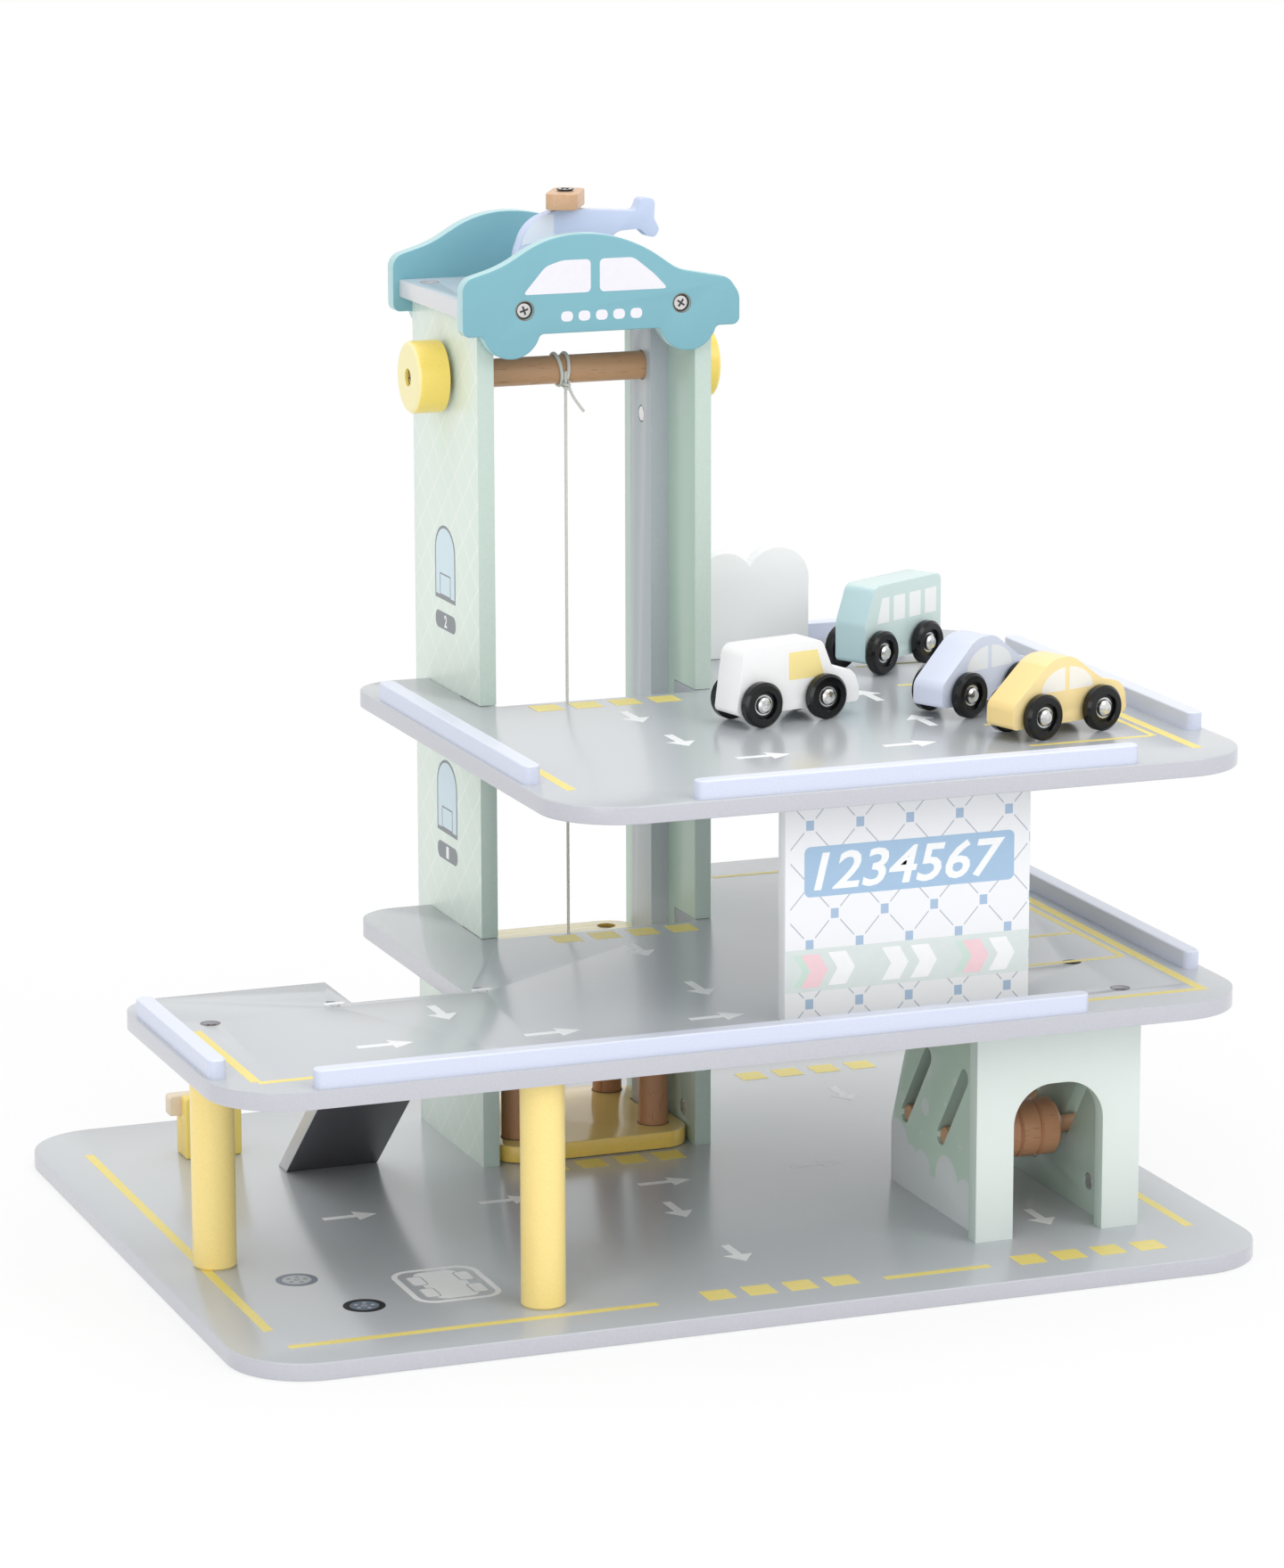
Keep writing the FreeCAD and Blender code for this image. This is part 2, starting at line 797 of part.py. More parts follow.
rail_front = -deck_front + rail_inset
rail_right = half_width - rail_inset - rail_width
rail("middle_front_rail", "x", -half_width + middle_front_rail_start, middle_front_rail_length,
     rail_front, middle_top)
rail("middle_left_rail", "y", -deck_front + middle_left_rail_start, middle_left_rail_length,
     -half_width + rail_inset, middle_top)
rail("middle_right_rail", "y", -deck_front + middle_right_rail_start, middle_right_rail_length,
     rail_right, middle_top)
rail("upper_front_rail", "x", -deck_left + upper_front_rail_start, upper_front_rail_length,
     rail_front, upper_top)
rail("upper_left_rail", "y", -deck_front + upper_left_rail_start, upper_left_rail_length,
     -deck_left + rail_inset, upper_top)
rail("upper_right_rail", "y", -deck_front + upper_right_rail_start, upper_right_rail_length,
     rail_right, upper_top)
rail("upper_back_rail", "x", -deck_left + upper_back_rail_start, upper_back_rail_length,
     deck_front - rail_inset - rail_width, upper_top)

# Panel between the decks
panel_front = -deck_front + panel_setback
panel_back = panel_front + board
panel = upright_board("lattice_panel", "XZ_Plane", [
    (panel_left, middle_top), (panel_left + panel_width, middle_top),
    (panel_left + panel_width, upper_under), (panel_left, upper_under),
], board)
place(panel, 0, panel_back, 0)

# White board with a cloud top behind the parked vehicles: a straight sheet with two puffs along its top
cloud_left = tower_right + cloud_gap
cloud_right = cloud_left + cloud_width
cloud_shoulder = upper_top + cloud_height - cloud_bump * 0.5
cloud = upright_board("cloud_board", "XZ_Plane", [
    (cloud_left, upper_top), (cloud_right, upper_top),
    (cloud_right, cloud_shoulder), (cloud_left, cloud_shoulder),
], board)
puffs = [
    (cloud_right - cloud_bump, cloud_bump),
    (cloud_right - cloud_bump * 2.7, cloud_bump * 0.9),
    (cloud_left + cloud_bump * 0.8, cloud_bump * 0.8),
]
for number, (x, radius) in enumerate(puffs, 1):
    puff = sketch_on(cloud, "XZ_Plane", f"puff_{number}")
    draw_circle(puff, x, cloud_shoulder, radius)
    pad(cloud, puff, board, f"puff_board_{number}")
place(cloud, 0, cloud_front + board, 0)

# Car wash: front board with an arch, and two side walls with leaning slots for the brush axles
wash_right = half_width - wash_inset
wash_left = wash_right - wash_width
arch_left = wash_left + (wash_width - arch_width) / 2
arch_right = arch_left + arch_width
arch_top = base_top + arch_height
wash_front = upright_board("wash_front", "XZ_Plane", [
    (wash_left, base_top), (arch_left, base_top), (arch_left, arch_top, arch_corner),
    (arch_right, arch_top, arch_corner), (arch_right, base_top), (wash_right, base_top),
    (wash_right, middle_under), (wash_left, middle_under),
], board)
place(wash_front, 0, panel_back, 0)

lean = math.radians(brush_slot_lean.value)
travel_back = brush_slot_travel * math.sin(lean)
travel_up = brush_slot_travel * math.cos(lean)
brush_z = base_top + brush_low
slot_radius = brush_axle / 2 + brush_slot_play
brush_places = (
    ("front_brush", panel_back + front_brush_setback), ("back_brush", panel_back + back_brush_setback),
)
wall_back = panel_back + wash_depth - board
wash_slots = [
    ((y, brush_z), (y - travel_back, brush_z + travel_up), slot_radius) for name, y in brush_places
]
wash_wall_left = wash_left + wash_wall_inset
wash_wall_right = wash_right - wash_wall_inset - board
for name, left_side in (("wash_left_wall", wash_wall_left), ("wash_right_wall", wash_wall_right)):
    wall = upright_board(name, "YZ_Plane", [
        (panel_back, base_top), (wall_back, base_top), (wall_back, base_top + wash_slope_foot, 8),
        (wall_back - wash_slope_run, middle_under), (panel_back, middle_under),
    ], board, slots=wash_slots)
    place(wall, left_side, 0, 0)

# Brushes: a grooved beech barrel that turns on its axle, and the axle that rides in both slots
barrel_left = (wash_wall_left + wash_wall_right + board - brush_length) / 2
barrel_radius = brush_diameter / 2
bore_radius = brush_axle / 2 + axle_play
brush_pitch = brush_length / (brush_groove_count.value + 1)


def barrel_profile():
    # Half profile of the barrel: a round shoulder at each end and evenly spaced vee grooves.
    points = [(bore_radius, 0), (barrel_radius - brush_shoulder, 0), (barrel_radius, brush_shoulder)]
    for number in range(1, int(brush_groove_count.value) + 1):
        middle = brush_pitch * number
        points += [
            (barrel_radius, middle - brush_groove / 2),
            (barrel_radius - brush_groove / 2, middle),
            (barrel_radius, middle + brush_groove / 2),
        ]
    points += [
        (barrel_radius, brush_length - brush_shoulder), (barrel_radius - brush_shoulder, brush_length),
        (bore_radius, brush_length),
    ]
    return points


axle_left = wash_wall_left + brush_axle_sink
axle_length = wash_wall_right + board - brush_axle_sink - axle_left
for name, y in brush_places:
    brush = turned(name, barrel_profile())
    turn_upright(brush, Vector(0, 1, 0), 90)
    place(brush, barrel_left, y, brush_z)
    axle = turned(f"{name}_axle", dowel_profile(brush_axle / 2, axle_length))
    turn_upright(axle, Vector(0, 1, 0), 90)
    place(axle, axle_left, y, brush_z)

# Fuel pump behind the left pillar: two yellow boards and a beech block on the lower one
pump_right = -pump_left + pump_width
pump_back = pump_front + board * 2
front_plate = upright_board("pump_front", "XZ_Plane", [
    (-pump_left, base_top), (pump_right, base_top),
    (pump_right, base_top + pump_height, 3), (-pump_left, base_top + pump_height, 3),
], board)
place(front_plate, 0, pump_front + board, 0)
rear_plate = upright_board("pump_rear", "XZ_Plane", [
    (-pump_left, base_top), (pump_right, base_top),
    (pump_right, base_top + pump_low_height), (-pump_left, base_top + pump_low_height),
], board)
place(rear_plate, 0, pump_back, 0)
block_left = -pump_left - pump_block_overhang
pump_block = upright_board("pump_block", "XZ_Plane", [
    (block_left, base_top + pump_low_height), (pump_right, base_top + pump_low_height),
    (pump_right, base_top + pump_height - 1, 2), (block_left, base_top + pump_height - 1, 2),
], board)
place(pump_block, 0, pump_back, 0)

# Vehicles: outlines in side view, from the middle between the axles and up from the deck
small_car = [
    (-36.8, 6, 3), (-36.6, 18, 7), (-10.5, 39.8, 17), (3.5, 39.8, 14), (23, 26, 7), (38.5, 22.5, 10),
    (40.5, 6, 4),
]
vehicles = {
    "white_pickup": (76.9, -19.4, 12.7, [
        (-33.5, 6, 3), (-28.5, 41, 6), (20, 41, 6), (26.5, 25.5, 5), (40, 23, 8), (43.4, 14, 5),
        (43.4, 6, 2.5),
    ]),
    "teal_bus": (183.2, 91.1, 29.4, [
        (-30, 6, 3), (-30, 27, 8), (-21, 47, 6), (37, 47, 4), (37, 6, 3),
    ]),
    "lavender_car": (181.6, -32.1, 24, small_car),
    "yellow_car": (195.3, -99.1, 16.8, small_car),
}
hub_height = wheel_diameter / 2
track_half = vehicle_width / 2 + wheel_gap


def wheel(name, side, x, y, heading):
    # One wheel: tread with rounded shoulders, a dished face and a domed steel hub on its pin.
    radius = wheel_diameter / 2
    tyre = radius * 0.62
    hub = radius * 0.36
    pin = axle_diameter / 2
    depth = vehicle_width / 2 - 0.5 + wheel_gap
    piece = turned(name, [
        (0, -depth), (pin, -depth), (pin, 0), (radius - 1, 0), (radius, 1), (radius, wheel_width - 1.4),
        (radius - 1.4, wheel_width), (tyre, wheel_width), (tyre - 0.8, wheel_width - 1.8),
        (hub, wheel_width - 1.8), (hub, wheel_width - 0.6), (hub * 0.7, wheel_width + 0.4),
        (0, wheel_width + 0.7),
    ])
    angle = math.radians(heading)
    tilt = FreeCAD.Rotation(Vector(math.cos(angle), math.sin(angle), 0), 90 * side)
    piece.Placement = FreeCAD.Placement(Vector(0, 0, 0), tilt)
    offset = track_half * side
    place(piece, x + offset * math.sin(angle), y - offset * math.cos(angle), upper_top + run_gap + hub_height)
    return piece


for name, (x, y, heading, corners) in vehicles.items():
    pins = [(wheel_base / 2 * end, hub_height, axle_diameter / 2 + axle_play) for end in (-1, 1)]
    body = upright_board(f"{name}_body", "XZ_Plane", corners, vehicle_width, holes=pins, centred=True)
    body.Placement = FreeCAD.Placement(Vector(0, 0, 0), FreeCAD.Rotation(Vector(0, 0, 1), heading))
    place(body, x, y, upper_top + run_gap)
    cosine, sine = math.cos(math.radians(heading)), math.sin(math.radians(heading))
    for end, side_name in ((-1, "rear"), (1, "front")):
        reach = wheel_base / 2 * end
        axle_x, axle_y = reach * cosine + x, reach * sine + y
        group(f"{name}_{side_name}_wheels", [
            wheel(f"{name}_{side_name}_wheel_{tag}", side, axle_x, axle_y, heading)
            for tag, side in (("near", 1), ("far", -1))
        ])

# Helicopter on the roof
helicopter_y = (tower_front + tower_back) / 2
helicopter = upright_board("helicopter_body", "XZ_Plane", [
    (-12, 0, 3), (-17.5, 14, 16), (-10.5, 34, 20), (8, helicopter_height, 22), (50.1, 37.1, 3),
    (52.8, 43.8, 2.5), (60.6, 43.4, 3), (60, 33, 4), (63, 27, 2.5), (60.5, 22.9, 2.5), (56.5, 23.6, 3),
    (52, 27.8, 5), (38, 27, 8), (24, 0, 4),
], helicopter_width, centred=True)
place(helicopter, 0, helicopter_y, roof_top + run_gap)
rotor_low = roof_top + run_gap * 2 + helicopter_height
rotor = flat_board("helicopter_rotor", [
    (-rotor_length / 2, -rotor_width / 2, rotor_corner), (rotor_length / 2, -rotor_width / 2, rotor_corner),
    (rotor_length / 2, rotor_width / 2, rotor_corner), (-rotor_length / 2, rotor_width / 2, rotor_corner),
], rotor_thickness, holes=[(0, 0, screw_shank / 2 + axle_play)])
rotor.Placement = FreeCAD.Placement(Vector(0, 0, 0), FreeCAD.Rotation(Vector(0, 0, 1), rotor_turn.value))
place(rotor, rotor_x, helicopter_y, rotor_low)
group("rotor_screw", [
    screw("rotor_screw_1", rotor_x, helicopter_y, rotor_low + rotor_thickness + run_gap),
])
drill(helicopter, "XY_Plane", "rotor_pilot", [(rotor_x, 0)], shank_radius, helicopter_height, screw_length)

# Sunk screws of the frame: decks onto pillars and car wash, roof onto walls
wash_screw_y = panel_front + deck_screw_setback
wall_middles = (wash_wall_left + board / 2, wash_wall_right + board / 2)
front_board_y = panel_front + board / 2
wash_screws = [(x, wash_screw_y) for x in wall_middles]
arch_screws = [(x, front_board_y) for x in wall_middles]
deck_screws = pillar_places + wash_screws + arch_screws
drill(middle_deck, "XY_Plane", "shanks", deck_screws, shank_radius, board, board)
drill(middle_deck, "XY_Plane", "heads", deck_screws, head_radius, board, screw_sink)
roof_screw_lines = (tower_front + roof_screw_inset, tower_back - roof_screw_inset)
roof_screws = [(x, y) for x in (tower_left + board / 2, shaft_right + board / 2) for y in roof_screw_lines]
drill(roof, "XY_Plane", "shanks", roof_screws, shank_radius, board, board)
drill(roof, "XY_Plane", "heads", roof_screws, head_radius, board, screw_sink)
group("frame_screws", [
    screw(f"deck_screw_{number}", x, y, middle_top - screw_sink)
    for number, (x, y) in enumerate(deck_screws, 1)
] + [
    screw(f"roof_screw_{number}", x, y, roof_top - screw_sink)
    for number, (x, y) in enumerate(roof_screws, 1)
])
for wall, x in (("wash_left_wall", wall_middles[0]), ("wash_right_wall", wall_middles[1])):
    drill(doc.getObject(wall), "XY_Plane", "pilot", [(board / 2, wash_screw_y)], shank_radius, middle_under,
          pilot_depth)
drill(wash_front, "XY_Plane", "pilots", [(x, -board / 2) for x in wall_middles], shank_radius, middle_under,
      pilot_depth)
for wall in ("tower_left_wall", "tower_right_wall"):
    places = [(board / 2, y) for y in roof_screw_lines]
    drill(doc.getObject(wall), "XY_Plane", "pilots", places, shank_radius, roof_under, pilot_depth)

# Cross dowels in the inner faces of the walls and guides, which take the bolts of the base
dowel_radius = dowel_diameter / 2 + seat_gap / 2
dowel_z = base_top + dowel_rise
dowels = []


def fit_dowels(board_name, thickness, places, face_x, inward):
    # inward is 1 where the holed face looks to +X, and -1 where it looks to -X.
    wall = doc.getObject(board_name)
    face = thickness if inward > 0 else zero
    drill(wall, "YZ_Plane", "dowels", places, dowel_radius, face, dowel_length, inward < 0)
    for y, z in places:
        piece = turned(f"dowel_{len(dowels) + 1}", dowel_profile(dowel_diameter / 2, dowel_length - seat_gap))
        turn_upright(piece, backwards_axis, 90)
        place(piece, face_x - (dowel_length if inward > 0 else -seat_gap), y, z)
        dowels.append(piece)


tower_dowels = [(y, dowel_z) for y in (tower_front + tower_dowel_inset, tower_back - tower_dowel_inset)]
wash_dowels = [(y, dowel_z) for y in (panel_back + wash_dowel_front, wall_back - wash_dowel_back)]
guide_dowels = [(winch_y, winch_z - guide_dowel_drop)]
fit_dowels("tower_left_wall", board, tower_dowels, shaft_left, 1)
fit_dowels("tower_right_wall", board, tower_dowels, shaft_right, -1)
fit_dowels("left_guide", guide_thickness, guide_dowels, shaft_left + guide_thickness, 1)
fit_dowels("right_guide", guide_thickness, guide_dowels, shaft_right - guide_thickness, -1)
fit_dowels("wash_left_wall", board, wash_dowels, wash_wall_left + board, 1)
fit_dowels("wash_right_wall", board, wash_dowels, wash_wall_right, -1)
group("cross_dowels", dowels)

# Every piece is checked before any file is written
for item in doc.Objects:
    if "Invalid" in item.State or "Error" in item.State:
        raise ValueError(f"{item.Name} failed: {item.State}")
kinds = ("PartDesign::Body", "Part::Compound", "Part::Cylinder")
nodes = [item for item in doc.Objects if item.TypeId in kinds and item not in grouped]
for node in nodes:
    if node.Shape.isNull() or not node.Shape.isValid() or not node.Shape.Solids:
        raise ValueError(f"{node.Label} has no valid solid")
os.makedirs("parts", exist_ok=True)
for node in nodes:
    node.Shape.exportStep(f"parts/{node.Label}.step")
print(len(nodes), "nodes,", sum(len(node.Shape.Solids) for node in nodes), "solids")
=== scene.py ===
import json
import math

import bmesh
import bpy
from mathutils import Euler, Matrix, Vector

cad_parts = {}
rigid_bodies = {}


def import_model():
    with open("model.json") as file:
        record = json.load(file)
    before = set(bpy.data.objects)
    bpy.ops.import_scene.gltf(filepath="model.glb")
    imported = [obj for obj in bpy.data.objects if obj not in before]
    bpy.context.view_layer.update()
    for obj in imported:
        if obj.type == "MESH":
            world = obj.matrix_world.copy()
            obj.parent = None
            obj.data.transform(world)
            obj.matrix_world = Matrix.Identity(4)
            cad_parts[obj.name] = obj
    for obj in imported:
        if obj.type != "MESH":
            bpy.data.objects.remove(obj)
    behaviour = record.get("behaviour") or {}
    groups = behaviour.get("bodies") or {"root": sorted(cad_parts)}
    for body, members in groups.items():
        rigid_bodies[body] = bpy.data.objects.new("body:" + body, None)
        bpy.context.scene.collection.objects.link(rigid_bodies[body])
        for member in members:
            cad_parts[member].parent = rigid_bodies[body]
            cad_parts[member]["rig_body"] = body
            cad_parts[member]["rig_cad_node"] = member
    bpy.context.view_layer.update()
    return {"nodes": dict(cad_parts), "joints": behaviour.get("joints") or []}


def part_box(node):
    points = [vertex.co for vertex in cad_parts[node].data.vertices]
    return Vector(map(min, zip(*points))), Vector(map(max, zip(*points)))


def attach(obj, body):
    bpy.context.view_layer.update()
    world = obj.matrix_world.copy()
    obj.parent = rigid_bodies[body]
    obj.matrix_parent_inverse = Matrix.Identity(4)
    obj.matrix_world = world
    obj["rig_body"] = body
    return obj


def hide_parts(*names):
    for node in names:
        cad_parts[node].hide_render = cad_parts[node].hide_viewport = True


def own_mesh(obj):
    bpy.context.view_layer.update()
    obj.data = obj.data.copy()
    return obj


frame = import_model()
mm = 0.001

print("stage: camera and light")
view = {
    "place": (-0.97927, -2.60265, 0.83065),
    "yaw": 20.8195,  # degrees to the right of straight ahead
    "pitch": 12.268,  # degrees down
    "roll": 0.12,
    "lens": 127.29,
}
studio = {
    "world": 0.80,
    "background": 1.0,
    "key": {"place": (1.3, -2.0, 1.9), "aim": (0.0, 0.0, 0.2), "size": 1.8, "power": 17},
    "fill": {"place": (-1.75, -2.1, 1.0), "aim": (0.0, 0.0, 0.25), "size": 2.0, "power": 15},
    "top": {"place": (0.1, 0.3, 2.4), "aim": (0.0, 0.0, 0.0), "size": 2.2, "power": 15},
}


def clearSelection():
    if bpy.context.mode != "OBJECT":
        bpy.ops.object.mode_set(mode="OBJECT")
    bpy.ops.object.select_all(action="DESELECT")


def setUpCamera():
    clearSelection()
    turn = [math.radians(angle) for angle in (90 - view["pitch"], view["roll"], -view["yaw"])]
    bpy.ops.object.camera_add(location=view["place"], rotation=turn)
    camera = bpy.context.object
    camera.name = "viewCamera"
    camera.data.lens = view["lens"]
    camera.data.sensor_width = 36
    camera.data.clip_start = 0.1
    camera.data.clip_end = 50
    bpy.context.scene.camera = camera


def setUpLights():
    for name in ("key", "fill", "top"):
        lamp = studio[name]
        clearSelection()
        bpy.ops.object.light_add(type="AREA", location=lamp["place"])
        light = bpy.context.object
        light.name = name + "Light"
        light.data.shape = "DISK"
        light.data.size = lamp["size"]
        light.data.energy = lamp["power"]
        aim = Vector(lamp["aim"]) - Vector(lamp["place"])
        light.rotation_euler = aim.to_track_quat("-Z", "Y").to_euler()
    world = bpy.data.worlds.new("studioWorld")
    bpy.context.scene.world = world
    world.use_nodes = True
    tree = world.node_tree
    background = tree.nodes["Background"]
    background.inputs["Color"].default_value = (1, 1, 1, 1)
    path = tree.nodes.new("ShaderNodeLightPath")
    shown = path.outputs["Is Camera Ray"]
    for ray in ("Is Glossy Ray", "Is Transmission Ray"):
        either = tree.nodes.new("ShaderNodeMath")
        either.operation = "MAXIMUM"
        tree.links.new(shown, either.inputs[0])
        tree.links.new(path.outputs[ray], either.inputs[1])
        shown = either.outputs[0]
    level = tree.nodes.new("ShaderNodeMix")
    level.data_type = "FLOAT"
    level.inputs[2].default_value = studio["world"]
    level.inputs[3].default_value = studio["background"]
    tree.links.new(shown, level.inputs[0])
    tree.links.new(level.outputs[0], background.inputs["Strength"])
    bpy.context.scene.view_settings.view_transform = "Standard"


class Link:  # a node's socket, so that sums are written with the usual signs
    def __init__(self, sheet, socket):
        self.sheet = sheet
        self.socket = socket

    def use(self, operation, *others):
        return self.sheet.node("Math", {"operation": operation}, [self, *others])

    def __add__(self, other):
        return self.use("ADD", other)

    def __radd__(self, other):
        return self.use("ADD", other)

    def __sub__(self, other):
        return self.use("SUBTRACT", other)

    def __rsub__(self, other):
        return self.sheet.node("Math", {"operation": "SUBTRACT"}, [other, self])

    def __mul__(self, other):
        return self.use("MULTIPLY", other)

    def __rmul__(self, other):
        return self.use("MULTIPLY", other)

    def __truediv__(self, other):
        return self.use("DIVIDE", other)

    def __lt__(self, other):
        return self.use("LESS_THAN", other)

    def __gt__(self, other):
        return self.use("GREATER_THAN", other)

    def __mod__(self, other):
        return self.use("FLOORED_MODULO", other)

    def size(self):
        return self.use("ABSOLUTE")

    def most(self, other):
        return self.use("MAXIMUM", other)

    def least(self, other):
        return self.use("MINIMUM", other)

    def power(self, other):
        return self.use("POWER", other)


class Sheet:  # one material and its nodes
    def __init__(self, name):
        self.material = bpy.data.materials.new(name)
        self.material.use_nodes = True
        self.tree = self.material.node_tree
        self.shader = self.tree.nodes["Principled BSDF"]
        self.place = None

    def node(self, kind, settings=None, inputs=None, output=0):
        made = self.tree.nodes.new("ShaderNode" + kind)
        for key, value in (settings or {}).items():
            setattr(made, key, value)
        pairs = inputs.items() if isinstance(inputs, dict) else enumerate(inputs or [])
        for key, value in pairs:
            self.join(made.inputs[key], value)
        return Link(self, made.outputs[output])

    def join(self, socket, value):
        if isinstance(value, Link):
            self.tree.links.new(value.socket, socket)
        elif value is not None:
            socket.default_value = value

    def coordinates(self):  # x, y and z of the point in the part's own frame, in millimetres
        if self.place is None:
            self.place = self.node("TexCoord", output="Object")
            parts = self.tree.nodes.new("ShaderNodeSeparateXYZ")
            self.tree.links.new(self.place.socket, parts.inputs[0])
            self.axes = [Link(self, parts.outputs[index]) * 1000 for index in range(3)]
        return self.axes

    def normal(self):
        parts = self.tree.nodes.new("ShaderNodeSeparateXYZ")
        geometry = self.tree.nodes.new("ShaderNodeNewGeometry")
        self.tree.links.new(geometry.outputs["Normal"], parts.inputs[0])
        return [Link(self, parts.outputs[index]) for index in range(3)]

    def noise(self, scale, detail=2.0, stretch=(1, 1, 1), rough=0.5):
        self.coordinates()
        scaled = self.node("Mapping", {}, {"Vector": self.place, "Scale": stretch})
        values = {"Vector": scaled, "Scale": scale, "Detail": detail, "Roughness": rough}
        return self.node("TexNoise", {}, values, "Fac")

    def blend(self, mask, low, high):
        return self.node("Mix", {"data_type": "RGBA"}, {0: mask, 6: low, 7: high}, 2)

    def set(self, **values):
        names = {
            "colour": "Base Color", "rough": "Roughness", "metal": "Metallic", "coat": "Coat Weight",
            "coatRough": "Coat Roughness", "gloss": "Specular IOR Level",
        }
        for key, value in values.items():
            self.join(self.shader.inputs[names[key]], value)

    def bump(self, height, strength, distance):
        made = self.node("Bump", {}, {"Strength": strength, "Distance": distance, "Height": height})
        self.join(self.shader.inputs["Normal"], made)


def tint(code, shade=1.0):  # a colour written as it looks, as the shader wants it
    parts = [int(code[index:index + 2], 16) / 255 for index in (0, 2, 4)]
    linear = [part / 12.92 if part <= 0.04045 else ((part + 0.055) / 1.055) ** 2.4 for part in parts]
    return tuple(part * shade for part in linear) + (1.0,)


def inside(value, low, high):
    return (value > low) * (value < high)


def box(u, v, left, right, low, high):
    return inside(u, left, right) * inside(v, low, high)


def disc(u, v, x, y, radius):
    return ((u - x) * (u - x) + (v - y) * (v - y)) < radius * radius


boardPaints = {  # colour of the flat faces and of the cut edges
    "greyDeck": {"face": "c0c4c8", "edge": "c0c1c9", "rough": 0.22, "speckle": 0.04},
    "mintWall": {"face": "e0eee3", "edge": "c5d6cd", "rough": 0.32, "speckle": 0.03},
    "mintPlain": {"face": "e2ebe7", "edge": "cfe0d8", "rough": 0.32, "speckle": 0.03},
    "paleRoof": {"face": "bac5cd", "edge": "dadbde", "rough": 0.28, "speckle": 0.03},
    "guideGrey": {"face": "c4cad0", "edge": "bcc2c8", "rough": 0.34, "speckle": 0.03},
    "teal": {"face": "7bb2bf", "edge": "add6da", "rough": 0.33, "speckle": 0.03},
    "yellow": {"face": "fce391", "edge": "fce391", "rough": 0.32, "speckle": 0.02},
    "pumpYellow": {"face": "f8dc74", "edge": "f6d96c", "rough": 0.32, "speckle": 0.02},
    "knobYellow": {"face": "faf0b2", "edge": "fce070", "rough": 0.3, "speckle": 0.02},
    "mustard": {"face": "f3d78a", "edge": "f8d46c", "rough": 0.13, "speckle": 0.03},
    "paleMustard": {"face": "f4e6b4", "edge": "dcb348", "rough": 0.22, "speckle": 0.03},
    "lilac": {"face": "e0e5f3", "edge": "d3d9ec", "rough": 0.36, "speckle": 0.02},
    "ramp": {"face": "c2c6ca", "edge": "cbccd0", "rough": 0.3, "speckle": 0.03},
    "cloudWhite": {"face": "fbfbfc", "edge": "f8f9fb", "rough": 0.4, "speckle": 0.01},
    "chalk": {"face": "f2f3f6", "edge": "eef0f3", "rough": 0.33, "speckle": 0.01},
}


def lacquer(name, key, across=2):
    # Sprayed satin paint on fibreboard: faint mottling, a speckled edge and a little orange peel.
    look = boardPaints[key]
    sheet = Sheet(name)
    sheet.coordinates()
    cloud = sheet.noise(9, 3)
    grain = sheet.noise(900, 2)
    peel = sheet.noise(420, 2)
    sheet.onEdge = sheet.normal()[across].size() < 0.5
    face = sheet.blend((cloud - 0.5) * 0.5 + 0.5, tint(look["face"], 0.965), tint(look["face"], 1.03))
    sheet.faceColour = sheet.blend((grain - 0.5) * (look["speckle"] * 14) + 0.5, tint(look["face"], 0.97), face)
    sheet.edgeColour = sheet.blend(grain, tint(look["edge"], 0.93), tint(look["edge"], 1.05))
    sheet.set(rough=cloud * 0.08 + (look["rough"] - 0.04), coat=0.2, coatRough=0.12)
    sheet.bump(peel * 0.7 + grain * 0.3, 0.1, 0.0001)
    return sheet


def boardPaint(name, key, across=2):
    sheet = lacquer(name, key, across)
    sheet.set(colour=sheet.blend(sheet.onEdge, sheet.faceColour, sheet.edgeColour))
    return sheet.material


def rampPaint():
    # Light grey like the decks, with the underside painted nearly black as painted shade.
    sheet = lacquer("rampPaint", "ramp", 0)
    shadedUnderside = sheet.normal()[2] < -0.3
    face = sheet.blend(shadedUnderside, sheet.faceColour, tint("4b4a50"))
    sheet.set(colour=sheet.blend(sheet.onEdge, sheet.edgeColour, face))
    return sheet.material


def beech(name, axis, pale, dark, rough=0.4, pore=0.5):
    # Turned beech: long growth streaks, short dark pores and a thin clear lacquer.
    sheet = Sheet(name)
    sheet.coordinates()
    along = [14.0, 14.0, 14.0]
    along[axis] = 0.8
    fleck = [170.0, 170.0, 170.0]
    fleck[axis] = 17.0
    streak = sheet.noise(6, 4, tuple(along), 0.6)
    wide = sheet.noise(2.2, 2, tuple(along), 0.5)
    pores = sheet.noise(6, 1, tuple(fleck), 0.4)
    poreMask = ((pores - 0.66) * 9).most(0)
    body = sheet.blend(streak * 0.7 + wide * 0.5 - 0.1, tint(dark), tint(pale))
    colour = sheet.blend(poreMask.least(pore), body, tint(dark, 0.55))
    sheet.set(colour=colour, rough=streak * 0.15 + (rough - 0.07), coat=0.12, coatRough=0.2)
    sheet.bump(poreMask.least(1) * -1 + streak * 0.3, 0.2, 0.0002)
    return sheet.material


def zincSteel():
    sheet = Sheet("zincSteel")
    brushed = sheet.noise(900, 2)
    soft = sheet.noise(80, 2)
    sheet.set(colour=sheet.blend(soft, tint("c9c9c8"), tint("e8e8e6")), metal=1.0, rough=brushed * 0.16 + 0.16)
    sheet.bump(brushed, 0.1, 0.00005)
    return sheet.material


def cordCotton():
    sheet = Sheet("cordCotton")
    fibre = sheet.noise(1500, 3)
    sheet.set(colour=sheet.blend(fibre, tint("cfcdc6"), tint("efeee9")), rough=0.85)
    sheet.bump(fibre, 0.5, 0.0002)
    return sheet.material


